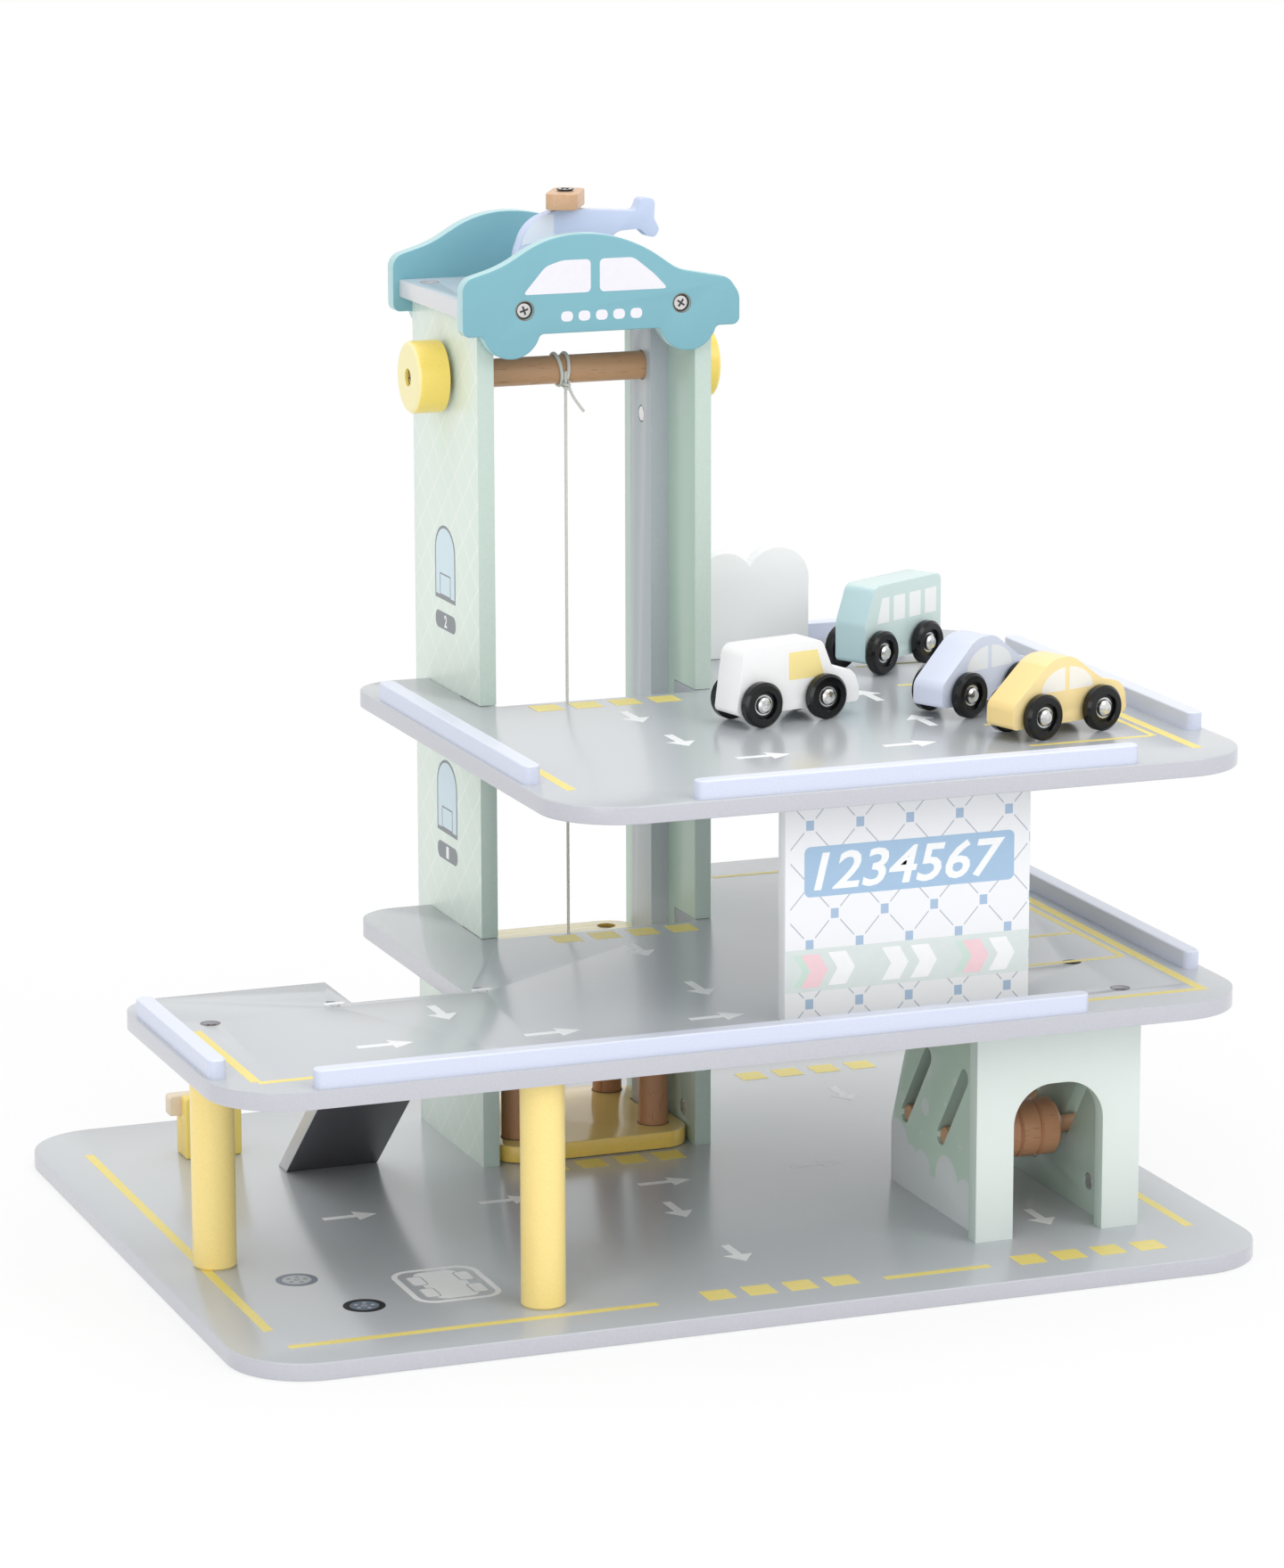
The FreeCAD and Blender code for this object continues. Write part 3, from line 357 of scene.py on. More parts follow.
def ink(name, code, rough=0.34):
    # Screen-printed ink, a touch uneven.
    sheet = Sheet(name)
    wear = sheet.noise(240, 3)
    sheet.set(colour=sheet.blend(wear, tint(code, 0.95), tint(code, 1.02)), rough=wear * 0.1 + rough)
    return sheet.material


wallPrint = {"across": 23.0, "up": 22.0, "line": 0.7, "strength": 0.6, "shaftMiddle": 9}


def towerWallPrint():
    # Pale diamond lattice on the walls' outer faces; the faces towards the shaft are plain and painted a darker mint as
    # painted shade, and the cut edges are a darker mint paint.
    sheet = lacquer("towerWallPrint", "mintWall", 0)
    x, y, z = sheet.coordinates()
    nx = sheet.normal()[0]
    u, v = y / wallPrint["across"], z / wallPrint["up"]
    rising = ((u + v) % 1 - 0.5).size() * wallPrint["up"]
    falling = ((u - v) % 1 - 0.5).size() * wallPrint["up"]
    lattice = (rising.least(falling) < wallPrint["line"]) * wallPrint["strength"]
    outer = ((x - wallPrint["shaftMiddle"]) * nx) > 0  # the faces that look away from the shaft
    printed = sheet.blend(lattice, sheet.faceColour, tint("f3f8f4"))
    # The darker mint on the faces towards the shaft is painted shade.
    inner = sheet.blend(outer, tint("c3d8cc"), printed)
    sheet.set(colour=sheet.blend(sheet.onEdge, inner, sheet.edgeColour))
    return sheet.material


panelPrint = {
    "left": 39.6, "low": 172.3, "across": 26.75, "up": 30.15, "line": 0.32, "lineSpan": 20.0, "strength": 0.85,
    "tile": (2.1, 2.5), "gap": (0.9, 1.1), "margin": 29.3,
}


def latticePanelPrint():
    # White panel: a thin grey-blue diamond lattice with a small upright blue tile at every crossing.
    look = panelPrint
    sheet = lacquer("latticePanelPrint", "chalk", 1)
    x, y, z = sheet.coordinates()
    u = (x - look["left"]) / look["across"]
    v = (z - look["low"]) / look["up"]
    printed = x > look["margin"]
    rising = ((u + v + 0.5) % 1 - 0.5).size() * look["lineSpan"]
    falling = ((u - v + 0.5) % 1 - 0.5).size() * look["lineSpan"]
    line = (rising.least(falling) < look["line"]) * printed
    tile, gap = None, None
    for shift in (0.5, 0.0):
        across = ((u + shift) % 1 - 0.5).size() * look["across"]
        up = ((v + shift) % 1 - 0.5).size() * look["up"]
        spot = (across < look["tile"][0]) * (up < look["tile"][1])
        clear = (across < look["tile"][0] + look["gap"][0]) * (up < look["tile"][1] + look["gap"][1])
        tile = spot if tile is None else tile.most(spot)
        gap = clear if gap is None else gap.most(clear)
    lined = sheet.blend(line * (1 - gap) * look["strength"], sheet.faceColour, tint("aab3c0"))
    tiled = sheet.blend(tile * printed, lined, tint("a9c0da"))
    sheet.set(colour=sheet.blend(sheet.onEdge, tiled, sheet.edgeColour))
    return sheet.material


foam = [  # lumps of foam along the foot of the wall: y, z, radius
    (-25, 36, 13), (-39.5, 30, 14.5), (-57, 24, 11), (-71, 25, 10.8), (-102.5, 27, 14), (-125, 24, 10.5),
]
bubbles = [(-75, 60, 4.8), (-45, 57, 3.6), (-111.7, 82.5, 2.6), (-79, 79, 2.2), (-56, 98, 3.0)]
stars = [(-118.7, 49.9, 3.7), (-70.2, 44.7, 2.4), (-100, 68, 1.6)]  # y, z, reach of the arms
washPrint = {"middle": 176.25, "foamTop": 25, "starArm": 0.35, "bubble": 0.4, "firstBubble": 0.75, "star": 0.9}


def washWallPrint():
    # Sage outer face with pale foam, round bubbles and small plus signs; the inner faces and the slots' sides are
    # painted darker as painted shade.
    sheet = lacquer("washWallPrint", "mintPlain", 0)
    x, y, z = sheet.coordinates()
    nx, ny, nz = sheet.normal()
    look, arm = washPrint, washPrint["starArm"]
    shape = z < look["foamTop"]
    for place in foam:
        shape = shape.most(disc(y, z, *place))
    for index, place in enumerate(bubbles):
        shape = shape.most(disc(y, z, *place) * (look["firstBubble"] if index == 0 else look["bubble"]))
    for middle, level, reach in stars:
        upright = box(y, z, middle - arm, middle + arm, level - reach, level + reach)
        flat = box(y, z, middle - reach, middle + reach, level - arm, level + arm)
        shape = shape.most(upright.most(flat) * look["star"])
    outer = ((x - look["middle"]) * nx) > 0
    # The sage ground is darker towards the top.
    ground = sheet.blend((z - 20) / 90, tint("c9e0d2"), tint("bdd5c5"))
    printed = sheet.blend(shape, ground, tint("dfe5e6"))
    # The darker tint on the faces towards the inside of the wash is painted shade.
    faces = sheet.blend(outer, tint("bfd2c7"), printed)
    slotShadeFaces = ny.size().least(nz.size()) > 0.3  # the leaning slots' inner sides are darker than the outer edges
    # The darker tint on the slots' inner sides is painted shade.
    edges = sheet.blend(slotShadeFaces, sheet.edgeColour, tint("a3b5aa"))
    sheet.set(colour=sheet.blend(sheet.onEdge, faces, edges))
    return sheet.material


deckTop = 258.3
# On the bus and the yellow car the nose colour is darker than the paint: painted shade.
vehicleLooks = {  # middle x and y, heading, paint, window colour, colour of the nose
    "white_pickup": (76.9, -19.4, 12.7, "fbfbfb", "fdea9f", "fbfbfb"),
    "teal_bus": (183.2, 91.1, 29.4, "cfe3e1", "f3f6f7", "bfdae0"),
    "lavender_car": (181.6, -32.1, 24.0, "d6ddef", "ecf0f3", "d6ddef"),
    "yellow_car": (195.3, -99.1, 16.8, "fde5a6", "f8f4ea", "fcdf98"),
}
windowLooks = {  # millimetres along the vehicle from its middle, and up from the deck
    "pickup": {"back": -0.8, "front": 30, "low": 21.6, "high": 36, "slope": 0.32, "sill": 21.8, "tip": 21.6},
    "bus": {
        "back": -19.5, "front": 33.2, "low": 26.5, "high": 40, "slope": 0.32, "pitch": 13.9, "pane": 10, "shift": 5,
    },
    "car": {"middle": 0.3, "foot": 22.6, "long": 300, "tall": 148, "sill": 22.8, "post": 1.4},
}


def vehicleDirections(sheet, name):
    # The point along the vehicle's length, and its height above the deck
    middleX, middleY, heading = vehicleLooks[name][:3]
    x, y, z = sheet.coordinates()
    cosine, sine = math.cos(math.radians(heading)), math.sin(math.radians(heading))
    return (x - middleX) * cosine + (y - middleY) * sine, z - deckTop, cosine, sine


def vehiclePaint(name):
    # Satin paint with the windows printed on both sides, in the vehicle's own directions; the nose colour is painted
    # shade where it is darker than the paint.
    body, glass, nose = vehicleLooks[name][3:]
    sheet = Sheet(name + "_paint")
    u, v, cosine, sine = vehicleDirections(sheet, name)
    nx, ny, nz = sheet.normal()
    side = (nx * sine - ny * cosine).size() > 0.9
    if name == "white_pickup":
        look = windowLooks["pickup"]
        window = box(u, v, look["back"], look["front"], look["low"], look["high"])
        window = window * ((u + (v - look["sill"]) * look["slope"]) < look["tip"])
    elif name == "teal_bus":
        look = windowLooks["bus"]
        panes = inside((u + look["shift"]) % look["pitch"], 0, look["pane"])
        window = panes * box(u, v, look["back"], look["front"], look["low"], look["high"])
        window = window * ((u - look["back"] - (v - look["low"]) * look["slope"]) > 0)
    else:
        look = windowLooks["car"]
        along, above = u + look["middle"], v - look["foot"]
        arch = (along * along / look["long"] + above * above / look["tall"]) < 1
        window = arch * (v > look["sill"]) * (along.size() > look["post"])
    cloud = sheet.noise(30, 2)
    paint = sheet.blend(cloud, tint(body, 0.98), tint(body, 1.01))
    # The end faces turned towards negative u get the nose colour, painted darker on the bus and the yellow car as
    # painted shade.
    front = (nx * cosine + ny * sine) < -0.6
    paintWithNoseShade = sheet.blend(front, paint, tint(nose))
    colour = sheet.blend(window * side, paintWithNoseShade, tint(glass))
    sheet.set(colour=colour, rough=cloud * 0.06 + 0.3, coat=0.15, coatRough=0.15)
    sheet.bump(sheet.noise(500, 2), 0.1, 0.0001)
    return sheet.material


wheelLook = {"base": 20, "radius": 11.75, "washer": 5.3, "groove": (4.1, 4.5)}


def wheelFinish(name):
    # Glossy black tyres with a bright steel washer and rivet in the middle, and a dark ring of painted shade round the
    # foot of the rivet's dome.
    sheet = Sheet(name + "_wheels")
    u, v, cosine, sine = vehicleDirections(sheet, name)
    reach, above = u.size() - wheelLook["base"], v - wheelLook["radius"]
    distance = (reach * reach + above * above).power(0.5)
    swirl = sheet.noise(60, 3)
    metal = distance < wheelLook["washer"]
    # The dark ring round the rivet's dome is painted shade.
    groove = inside(distance, *wheelLook["groove"])
    rubber = sheet.blend(swirl, tint("060607"), tint("101112"))
    washer = sheet.blend(groove, tint("dededd"), tint("4c4a48"))
    colour = sheet.blend(metal, rubber, washer)
    sheet.set(colour=colour, metal=metal, rough=swirl * 0.1 + 0.14, coat=0.15, coatRough=0.06, gloss=0.32)
    sheet.bump(swirl, 0.06, 0.0002)
    return sheet.material


helicopterWindow = {"disc": (5, 488, 19.2), "box": (-14, 4, 489, 506.5), "level": 493.6, "slope": 0.178}


def helicopterPaint():
    # Pale blue paint with a rounded window at the nose, printed on both sides
    look = helicopterWindow
    sheet = Sheet("helicopterPaint")
    x, y, z = sheet.coordinates()
    side = sheet.normal()[1].size() > 0.9
    above = (z - look["level"] - x * look["slope"]) > 0
    window = disc(x, z, *look["disc"]) * box(x, z, *look["box"]) * above
    cloud = sheet.noise(30, 2)
    paint = sheet.blend(cloud, tint("c6d3ef"), tint("ced9f2"))
    sheet.set(colour=sheet.blend(window * side, paint, tint("e6ecf6")), rough=cloud * 0.06 + 0.32)
    sheet.bump(sheet.noise(500, 2), 0.12, 0.0001)
    return sheet.material


print("stage: finishes")
deckPaint = boardPaint("deckPaint", "greyDeck")
finishes = {
    "base_board": deckPaint, "middle_deck": deckPaint, "upper_deck": deckPaint,
    "ramp": rampPaint(),
    "roof_board": boardPaint("roofPaint", "paleRoof"),
    "cloud_board": boardPaint("cloudPaint", "cloudWhite", 1),
    "lattice_panel": latticePanelPrint(),
    "wash_front": boardPaint("washFrontPaint", "mintPlain", 1),
    "winch_roller": beech("rollerBeech", 0, "dbaf84", "b48662"),
    "front_brush": beech("brushBeech", 0, "e0a880", "b87c5a"),
    "lift_posts": beech("postBeech", 2, "cf9c75", "a06f50"),
    "pump_block": beech("paleBlock", 0, "f0e2cc", "dfcbb0"),
    "helicopter_rotor": beech("rotorBeech", 1, "e2bd97", "cb9c74", 0.4, 0.25),
    "front_brush_axle": beech("axleBeech", 0, "d2a884", "b08260"),
    "lift_floor": boardPaint("liftFloorPaint", "mustard"),
    "lift_roof": boardPaint("liftRoofPaint", "paleMustard"),
    "helicopter_body": helicopterPaint(),
}
finishes["back_brush"] = finishes["front_brush"]
finishes["back_brush_axle"] = finishes["front_brush_axle"]
towerWall = towerWallPrint()
washWall = washWallPrint()
guide = boardPaint("guidePaint", "guideGrey", 0)
signPaint = boardPaint("signPaint", "teal", 1)
yellowPaint = boardPaint("yellowPaint", "yellow")
knobPaint = boardPaint("knobPaint", "knobYellow", 0)
railPaint = boardPaint("railPaint", "lilac")
cotton = cordCotton()
for group, finish in (
    (("tower_left_wall", "tower_right_wall"), towerWall),
    (("wash_left_wall", "wash_right_wall"), washWall),
    (("left_guide", "right_guide"), guide),
    (("front_sign", "back_sign"), signPaint),
    (("left_knob", "right_knob"), knobPaint),
    (("left_pillar", "right_pillar"), yellowPaint),
    (("pump_front", "pump_rear"), boardPaint("pumpPaint", "pumpYellow", 1)),
    ([node for node in frame["nodes"] if node.endswith("_rail")], railPaint),
    ([node for node in frame["nodes"] if node.endswith(("screws", "_screw", "dowels"))], zincSteel()),
    (("lift_rope", "rope_turns"), cotton),
):
    for node in group:
        finishes[node] = finish
for vehicle in vehicleLooks:
    finishes[vehicle + "_body"] = vehiclePaint(vehicle)
    finishes[vehicle + "_rear_wheels"] = finishes[vehicle + "_front_wheels"] = wheelFinish(vehicle)


def dress(piece, material):
    piece.data.materials.clear()
    piece.data.materials.append(material)


for node, piece in frame["nodes"].items():
    dress(piece, finishes[node])

print("stage: softened boards")
soften = {  # width of the rounded edge in millimetres
    "base_board": 0.8, "middle_deck": 0.8, "upper_deck": 0.8, "roof_board": 0.7, "tower_left_wall": 0.6,
    "tower_right_wall": 0.6, "left_guide": 0.6, "right_guide": 0.6, "front_sign": 0.8, "back_sign": 0.8,
    "lattice_panel": 0.5, "cloud_board": 0.9, "wash_front": 0.8, "wash_left_wall": 0.6, "wash_right_wall": 0.6,
    "ramp": 0.7, "lift_floor": 0.7, "lift_roof": 0.7, "pump_front": 1.0, "pump_rear": 1.0, "pump_block": 0.9,
    "helicopter_body": 1.6, "helicopter_rotor": 1.2, "white_pickup_body": 1.8, "teal_bus_body": 1.8,
    "lavender_car_body": 1.8, "yellow_car_body": 1.8,
}
rounding = {"merge": 0.000002, "flat": 0.5, "steps": 3, "sharp": 35, "smooth": 32}  # merge in metres, angles in degrees


def softCopy(node, width):
    # A merged copy of the solid with its edges rounded over, in place of the sharp one.
    clearSelection()
    source = frame["nodes"][node]
    source.select_set(True)
    bpy.context.view_layer.objects.active = source
    bpy.ops.object.duplicate()
    piece = bpy.context.object
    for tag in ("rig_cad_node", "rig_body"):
        if tag in piece:
            del piece[tag]
    piece.parent = None
    piece.name = "soft_" + node
    piece.data.name = piece.name
    bpy.ops.object.mode_set(mode="EDIT")
    bpy.ops.mesh.select_all(action="SELECT")
    bpy.ops.mesh.remove_doubles(threshold=rounding["merge"])
    bpy.ops.mesh.customdata_custom_splitnormals_clear()
    bpy.ops.mesh.dissolve_limited(angle_limit=math.radians(rounding["flat"]))
    bpy.ops.object.mode_set(mode="OBJECT")
    bevel = piece.modifiers.new("rounding", "BEVEL")
    bevel.width = width * mm
    bevel.segments = rounding["steps"]
    bevel.limit_method = "ANGLE"
    bevel.angle_limit = math.radians(rounding["sharp"])
    bpy.ops.object.modifier_apply(modifier="rounding")
    bpy.ops.object.shade_smooth_by_angle(angle=math.radians(rounding["smooth"]))
    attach(piece, source["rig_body"])
    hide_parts(node)


for node, width in soften.items():
    softCopy(node, width)

print("stage: printed markings")
inks = {
    "yellow": ink("inkYellow", "f3e07e"), "white": ink("inkWhite", "f7f8f9"), "dark": ink("inkDark", "858a8f"),
    "black": ink("inkBlack", "17191c"), "blue": ink("inkBlue", "a6c3df"), "pink": ink("inkPink", "f6d3da"),
    "mint": ink("inkMint", "d0e4da"), "sky": ink("inkSky", "d3e7ef"), "band": ink("inkBand", "dce5e3"),
    # The recess ink is a dark grey used as painted shade for the screws' cross recesses and the gaps round their heads.
    "slate": ink("inkSlate", "717c8b"), "hub": ink("inkHub", "b9bec2"), "recess": ink("inkRecess", "3c3a3b", 0.5),
    "rawBoard": ink("inkRawBoard", "86705e", 0.7), "signWhite": ink("inkSignWhite", "eceaf1"),
}
inkDepth = 0.06  # each side of the surface, in millimetres
facings = {  # degrees about x, then about z
    "up": (0, 0), "front": (90, 0), "left": (90, -90), "back": (90, 180), "right": (90, 90),
}


def startShape(name):
    clearSelection()
    bpy.ops.mesh.primitive_plane_add(size=0.001, location=(0, 0, 0))
    piece = bpy.context.object
    piece.name = name
    piece.data.name = name
    bpy.ops.object.mode_set(mode="EDIT")
    bpy.ops.mesh.select_all(action="SELECT")
    bpy.ops.mesh.delete(type="VERT")
    return piece


def addBar(x, y, width, height):
    place = (x * mm, y * mm, 0)
    bpy.ops.mesh.primitive_plane_add(size=1, location=place)
    bpy.ops.transform.resize(value=(width * mm, height * mm, 1), center_override=place)


def addLoops(*loops):
    # One outline gives a filled shape; an outer and an inner outline of as many points give a band.
    piece = bpy.context.object
    shape = bmesh.from_edit_mesh(piece.data)
    rings = [[shape.verts.new((x * mm, y * mm, 0)) for x, y in loop] for loop in loops]
    if len(rings) == 1:
        shape.faces.new(rings[0])
    else:
        outer, inner = rings
        for index in range(len(outer)):
            ahead = (index + 1) % len(outer)
            shape.faces.new((outer[index], outer[ahead], inner[ahead], inner[index]))
    bmesh.update_edit_mesh(piece.data)


def roundOutline(x, y, width, height, radius, steps=6):
    # A rectangle's outline with rounded corners, about its middle
    points = []
    for corner, (sideX, sideY) in enumerate(((1, 1), (-1, 1), (-1, -1), (1, -1))):
        middleX = x + sideX * (width / 2 - radius)
        middleY = y + sideY * (height / 2 - radius)
        for step in range(steps + 1):
            angle = math.radians(90 * corner + 90 * step / steps)
            points.append((middleX + radius * math.cos(angle), middleY + radius * math.sin(angle)))
    return points


def circleOutline(x, y, radius, count=36):
    angles = [math.tau * index / count for index in range(count)]
    return [(x + radius * math.cos(angle), y + radius * math.sin(angle)) for angle in angles]


arrow = {"length": 29.0, "shaft": 4.6, "head": 11.5, "width": 15.5}


def addArrow(x, y, way):
    # way is 0 for +X, 1 for +Y and -1 for -Y; x and y are the arrow's middle
    half, neck = arrow["length"] / 2, arrow["length"] / 2 - arrow["head"]
    shaft, wing = arrow["shaft"] / 2, arrow["width"] / 2
    outline = [
        (-half, -shaft), (neck, -shaft), (neck, -wing), (half, 0), (neck, wing), (neck, shaft), (-half, shaft),
    ]
    if way == 0:
        addLoops([(x + along, y + aside) for along, aside in outline])
    else:
        addLoops([(x - aside * way, y + along * way) for along, aside in outline])


def addCross(x, y, reach, half, angle):
    # A cross recess of a screw, with its arms turned by angle degrees
    outline = []
    for quarter in range(4):
        turn = math.radians(angle + 90 * quarter)
        cosine, sine = math.cos(turn), math.sin(turn)
        for along, aside in ((reach, -half), (reach, half), (half, half)):
            outline.append((x + along * cosine - aside * sine, y + along * sine + aside * cosine))
    addLoops(outline)


def turnOnto(piece, level, facing):
    # Stands the flat piece on the surface at that level: x is its width, seen from in front of it.
    lift, swing = facings[facing]
    turn = Euler((math.radians(lift), 0, math.radians(swing))).to_matrix().to_4x4()
    outward = turn.to_3x3() @ Vector((0, 0, 1))
    shift = Vector([abs(value) * level * mm for value in outward])
    piece.data.transform(Matrix.Translation(shift) @ turn)
    piece.data.update()


def endShape(piece, level, finish, body="garage", facing="up", depth=inkDepth):
    # Gives the flat shapes their thickness and puts them on their surface.
    bpy.ops.mesh.select_all(action="SELECT")
    bpy.ops.mesh.extrude_region_move(TRANSFORM_OT_translate={"value": (0, 0, depth * 2 * mm)})
    bpy.ops.mesh.select_all(action="SELECT")
    bpy.ops.mesh.normals_make_consistent(inside=False)
    bpy.ops.transform.translate(value=(0, 0, -depth * mm))
    bpy.ops.object.mode_set(mode="OBJECT")
    turnOnto(piece, level, facing)
    dress(piece, inks[finish])
    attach(piece, body)


def printNumbers(name, numbers, spot, level, facing, look):
    # White digits, fitted to a width and standing a touch above the ink round them
    clearSelection()
    bpy.ops.object.text_add(location=(0, 0, 0))
    piece = bpy.context.object
    piece.name = name
    writing = piece.data
    writing.body = numbers
    writing.align_x = "CENTER"
    writing.align_y = "CENTER"
    writing.size = look["size"] * mm
    writing.shear = look["lean"]
    writing.offset = look["weight"] * mm
    writing.extrude = look["depth"] * mm
    writing.resolution_u = 3
    bpy.ops.object.convert(target="MESH")
    piece = bpy.context.object
    bpy.ops.object.mode_set(mode="EDIT")
    bpy.ops.mesh.select_all(action="SELECT")
    bpy.ops.mesh.remove_doubles(threshold=0.000001)
    bpy.ops.mesh.normals_make_consistent(inside=False)
    bpy.ops.object.mode_set(mode="OBJECT")
    middle = sum((Vector(corner) for corner in piece.bound_box), Vector()) / 8
    centred = Matrix.Translation((-middle.x, -middle.y, 0))
    fit = Matrix.Scale(look["width"] * mm / piece.dimensions.x, 4, (1, 0, 0))
    piece.data.transform(Matrix.Translation((spot[0] * mm, spot[1] * mm, 0)) @ fit @ centred)
    turnOnto(piece, level, facing)
    dress(piece, inks["white"])
    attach(piece, "garage")


# Bars are middle x and y, width and depth; squares and arrows are given by their middles.
baseMarks = {
    "bars": [(-244, 3, 5, 326), (-148.5, -187.3, 188, 5), (93.5, -189, 57, 5), (245, 2, 5, 330)],
    "squares": [(x, -184.4) for x in (-21.8, 0, 21.8, 43.6)] + [(x, -185.8) for x in (144.6, 166.6, 188.6, 210.6)]
    + [(x, 54) for x in (-21.5, 0.5, 22.5, 44.5)] + [(x, 186.5) for x in (145, 167, 189, 211)],
    "right": [(-149, 7.6), (-64.5, 6), (24.1, 7.6), (110.8, 9.2)],
    "front": [(11.8, -41.5), (12, -123), (178, 134), (180.3, -121)],
}
middleMarks = {
    "bars": [(-248.5, -110.7, 5, 101), (2, -163.5, 500, 4.5), (249.2, -7.1, 5.5, 308.2), (241.5, 28, 3.4, 233)]
    + [(204.9, y, 69.8, 3.4) for y in (-88.2, -32.5, 23.2, 79, 134.5)] + [(129, 154.6, 40, 3.4)],
    "squares": [(x, 52) for x in (-13.8, 7.6, 29.3, 51)],
    "right": [(-169.7, -118.2), (-86, -126), (0.4, -126.5)],
    "front": [(13.3, 16.6), (12.7, -70.2), (-124.9, -69.2)],
}
upperMarks = {
    "bars": [(-81, -14, 5, 255), (245, -10, 5.5, 305), (237.8, 10, 3.2, 275)]
    + [(202.6, y, 67.2, 3.2) for y in (-127, -71.5, -16, 39.5, 95)],
    "squares": [(x, 51) for x in (-24.6, -2.8, 19, 41)],
    "right": [(35.3, -101.5), (115, -101)],
    "front": [(9.2, 13), (9.5, -50.5)],
    "back": [(144.5, -49), (144.5, 20)],
}
markSquare = (14.7, 15.2)
deckLevels = {"base": 9.0, "middle": 133.5, "upper": 258.0}


def printMarks(name, marks):
    level = deckLevels[name]
    lines = startShape(name + "Lines")
    for bar in marks["bars"]:
        addBar(*bar)
    for x, y in marks["squares"]:
        addBar(x, y, *markSquare)
    endShape(lines, level, "yellow")
    arrows = startShape(name + "Arrows")
    for key, way in (("right", 0), ("front", -1), ("back", 1)):
        for x, y in marks.get(key, []):
            addArrow(x, y, way)
    endShape(arrows, level, "white")


printMarks("base", baseMarks)
printMarks("middle", middleMarks)
printMarks("upper", upperMarks)

print("stage: base prints")
padPrint = {
    "x": -140.3, "y": -119.7, "width": 45.0, "height": 55.0, "line": 3.0, "corner": 11.0,
    "middle": (23, 44, 6), "cellFrame": (8.6, 15.2, 2.6), "cell": (6.8, 13.4, 1.8),  # widths, heights and corners
    "cells": [(-152.4, -110.4), (-152.3, -130.4), (-127.6, -109.8), (-127.4, -130.4)],
}
tyrePrint = {"outer": 10.5, "inner": 7.3, "spokes": 5, "spokeReach": 4.3, "spoke": 1.1, "pin": (1.5, 0.8)}


def printPad():
    look, level = padPrint, deckLevels["base"]
    x, y, line = look["x"], look["y"], look["line"]
    ring = startShape("padRing")
    addLoops(
        roundOutline(x, y, look["width"], look["height"], look["corner"]),
        roundOutline(x, y, look["width"] - line * 2, look["height"] - line * 2, look["corner"] - line))
    addLoops(roundOutline(x, y, *look["middle"]))
    endShape(ring, level, "white")
    frames = startShape("padFrames")
    for cellX, cellY in look["cells"]:
        addLoops(roundOutline(cellX, cellY, *look["cellFrame"]))
    endShape(frames, level, "hub", depth=0.1)
    cells = startShape("padCells")
    for cellX, cellY in look["cells"]:
        addLoops(roundOutline(cellX, cellY, *look["cell"]))
    endShape(cells, level, "white", depth=0.14)


def printTyre(name, x, y, ringInk, hubInk, spokeInk):
    # A tyre lying flat: tread ring, hub disc, a round spot for each spoke and a small ring in the middle
    look, level = tyrePrint, deckLevels["base"]
    tread = startShape(name + "Tread")
    addLoops(circleOutline(x, y, look["outer"]), circleOutline(x, y, look["inner"]))
    endShape(tread, level, ringInk)
    hub = startShape(name + "Hub")
    addLoops(circleOutline(x, y, look["inner"]))
    endShape(hub, level, hubInk, depth=0.04)
    spokes = startShape(name + "Spokes")
    for step in range(look["spokes"]):
        angle = math.tau * step / look["spokes"]
        spotX, spotY = x + look["spokeReach"] * math.cos(angle), y + look["spokeReach"] * math.sin(angle)
        addLoops(circleOutline(spotX, spotY, look["spoke"], 12))
    addLoops(*[circleOutline(x, y, radius, 16) for radius in look["pin"]])
    endShape(spokes, level, spokeInk)


printPad()
printTyre("greyTyre", -206.9, -86.4, "slate", "hub", "dark")
printTyre("blackTyre", -188.7, -138.3, "black", "slate", "hub")

print("stage: wall prints")
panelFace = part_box("lattice_panel")[0][1] * 1000
bandPrint = {"left": 26.9, "right": 158.1, "low": 148.6, "high": 170.1}
plaquePrint = (93.2, 209.1, 113.0, 25.4, 3.2)  # middle, width, height, corner
bayNumbers = {"size": 26.128, "width": 103, "lean": 0.22, "weight": 0.45, "depth": 0.1}
chevronTips = [(0, 0), (9.6, 0), (14.4, 8.4), (9.6, 16.8), (0, 16.8), (5.0, 8.4)]
chevrons = [  # left edge, lowest point, ink
    (30.7, 150.8, "mint"), (35.0, 150.6, "pink"), (49.5, 151.0, "white"), (78.3, 150.8, "white"),
    (93.8, 150.6, "white"), (117.5, 150.8, "mint"), (121.9, 150.5, "pink"), (136.2, 150.5, "white"),
]


def printPanel():
    left, right, low, high = bandPrint.values()
    band = startShape("panelBand")
    addLoops([(left, low), (right, low), (right, high), (left, high)])
    endShape(band, panelFace, "band", facing="front")
    for layer, colour in enumerate(("mint", "pink", "white")):
        signs = startShape(colour + "Chevrons")
        for edge, foot, shade in chevrons:
            if shade == colour:
                addLoops([(edge + across, foot + up) for across, up in chevronTips])
        endShape(signs, panelFace, colour, facing="front", depth=0.09 + 0.03 * layer)
    plaque = startShape("panelPlaque")
    addLoops(roundOutline(*plaquePrint))
    endShape(plaque, panelFace, "blue", facing="front")
    printNumbers("bayNumbers", "1234567", plaquePrint[:2], panelFace, "front", bayNumbers)


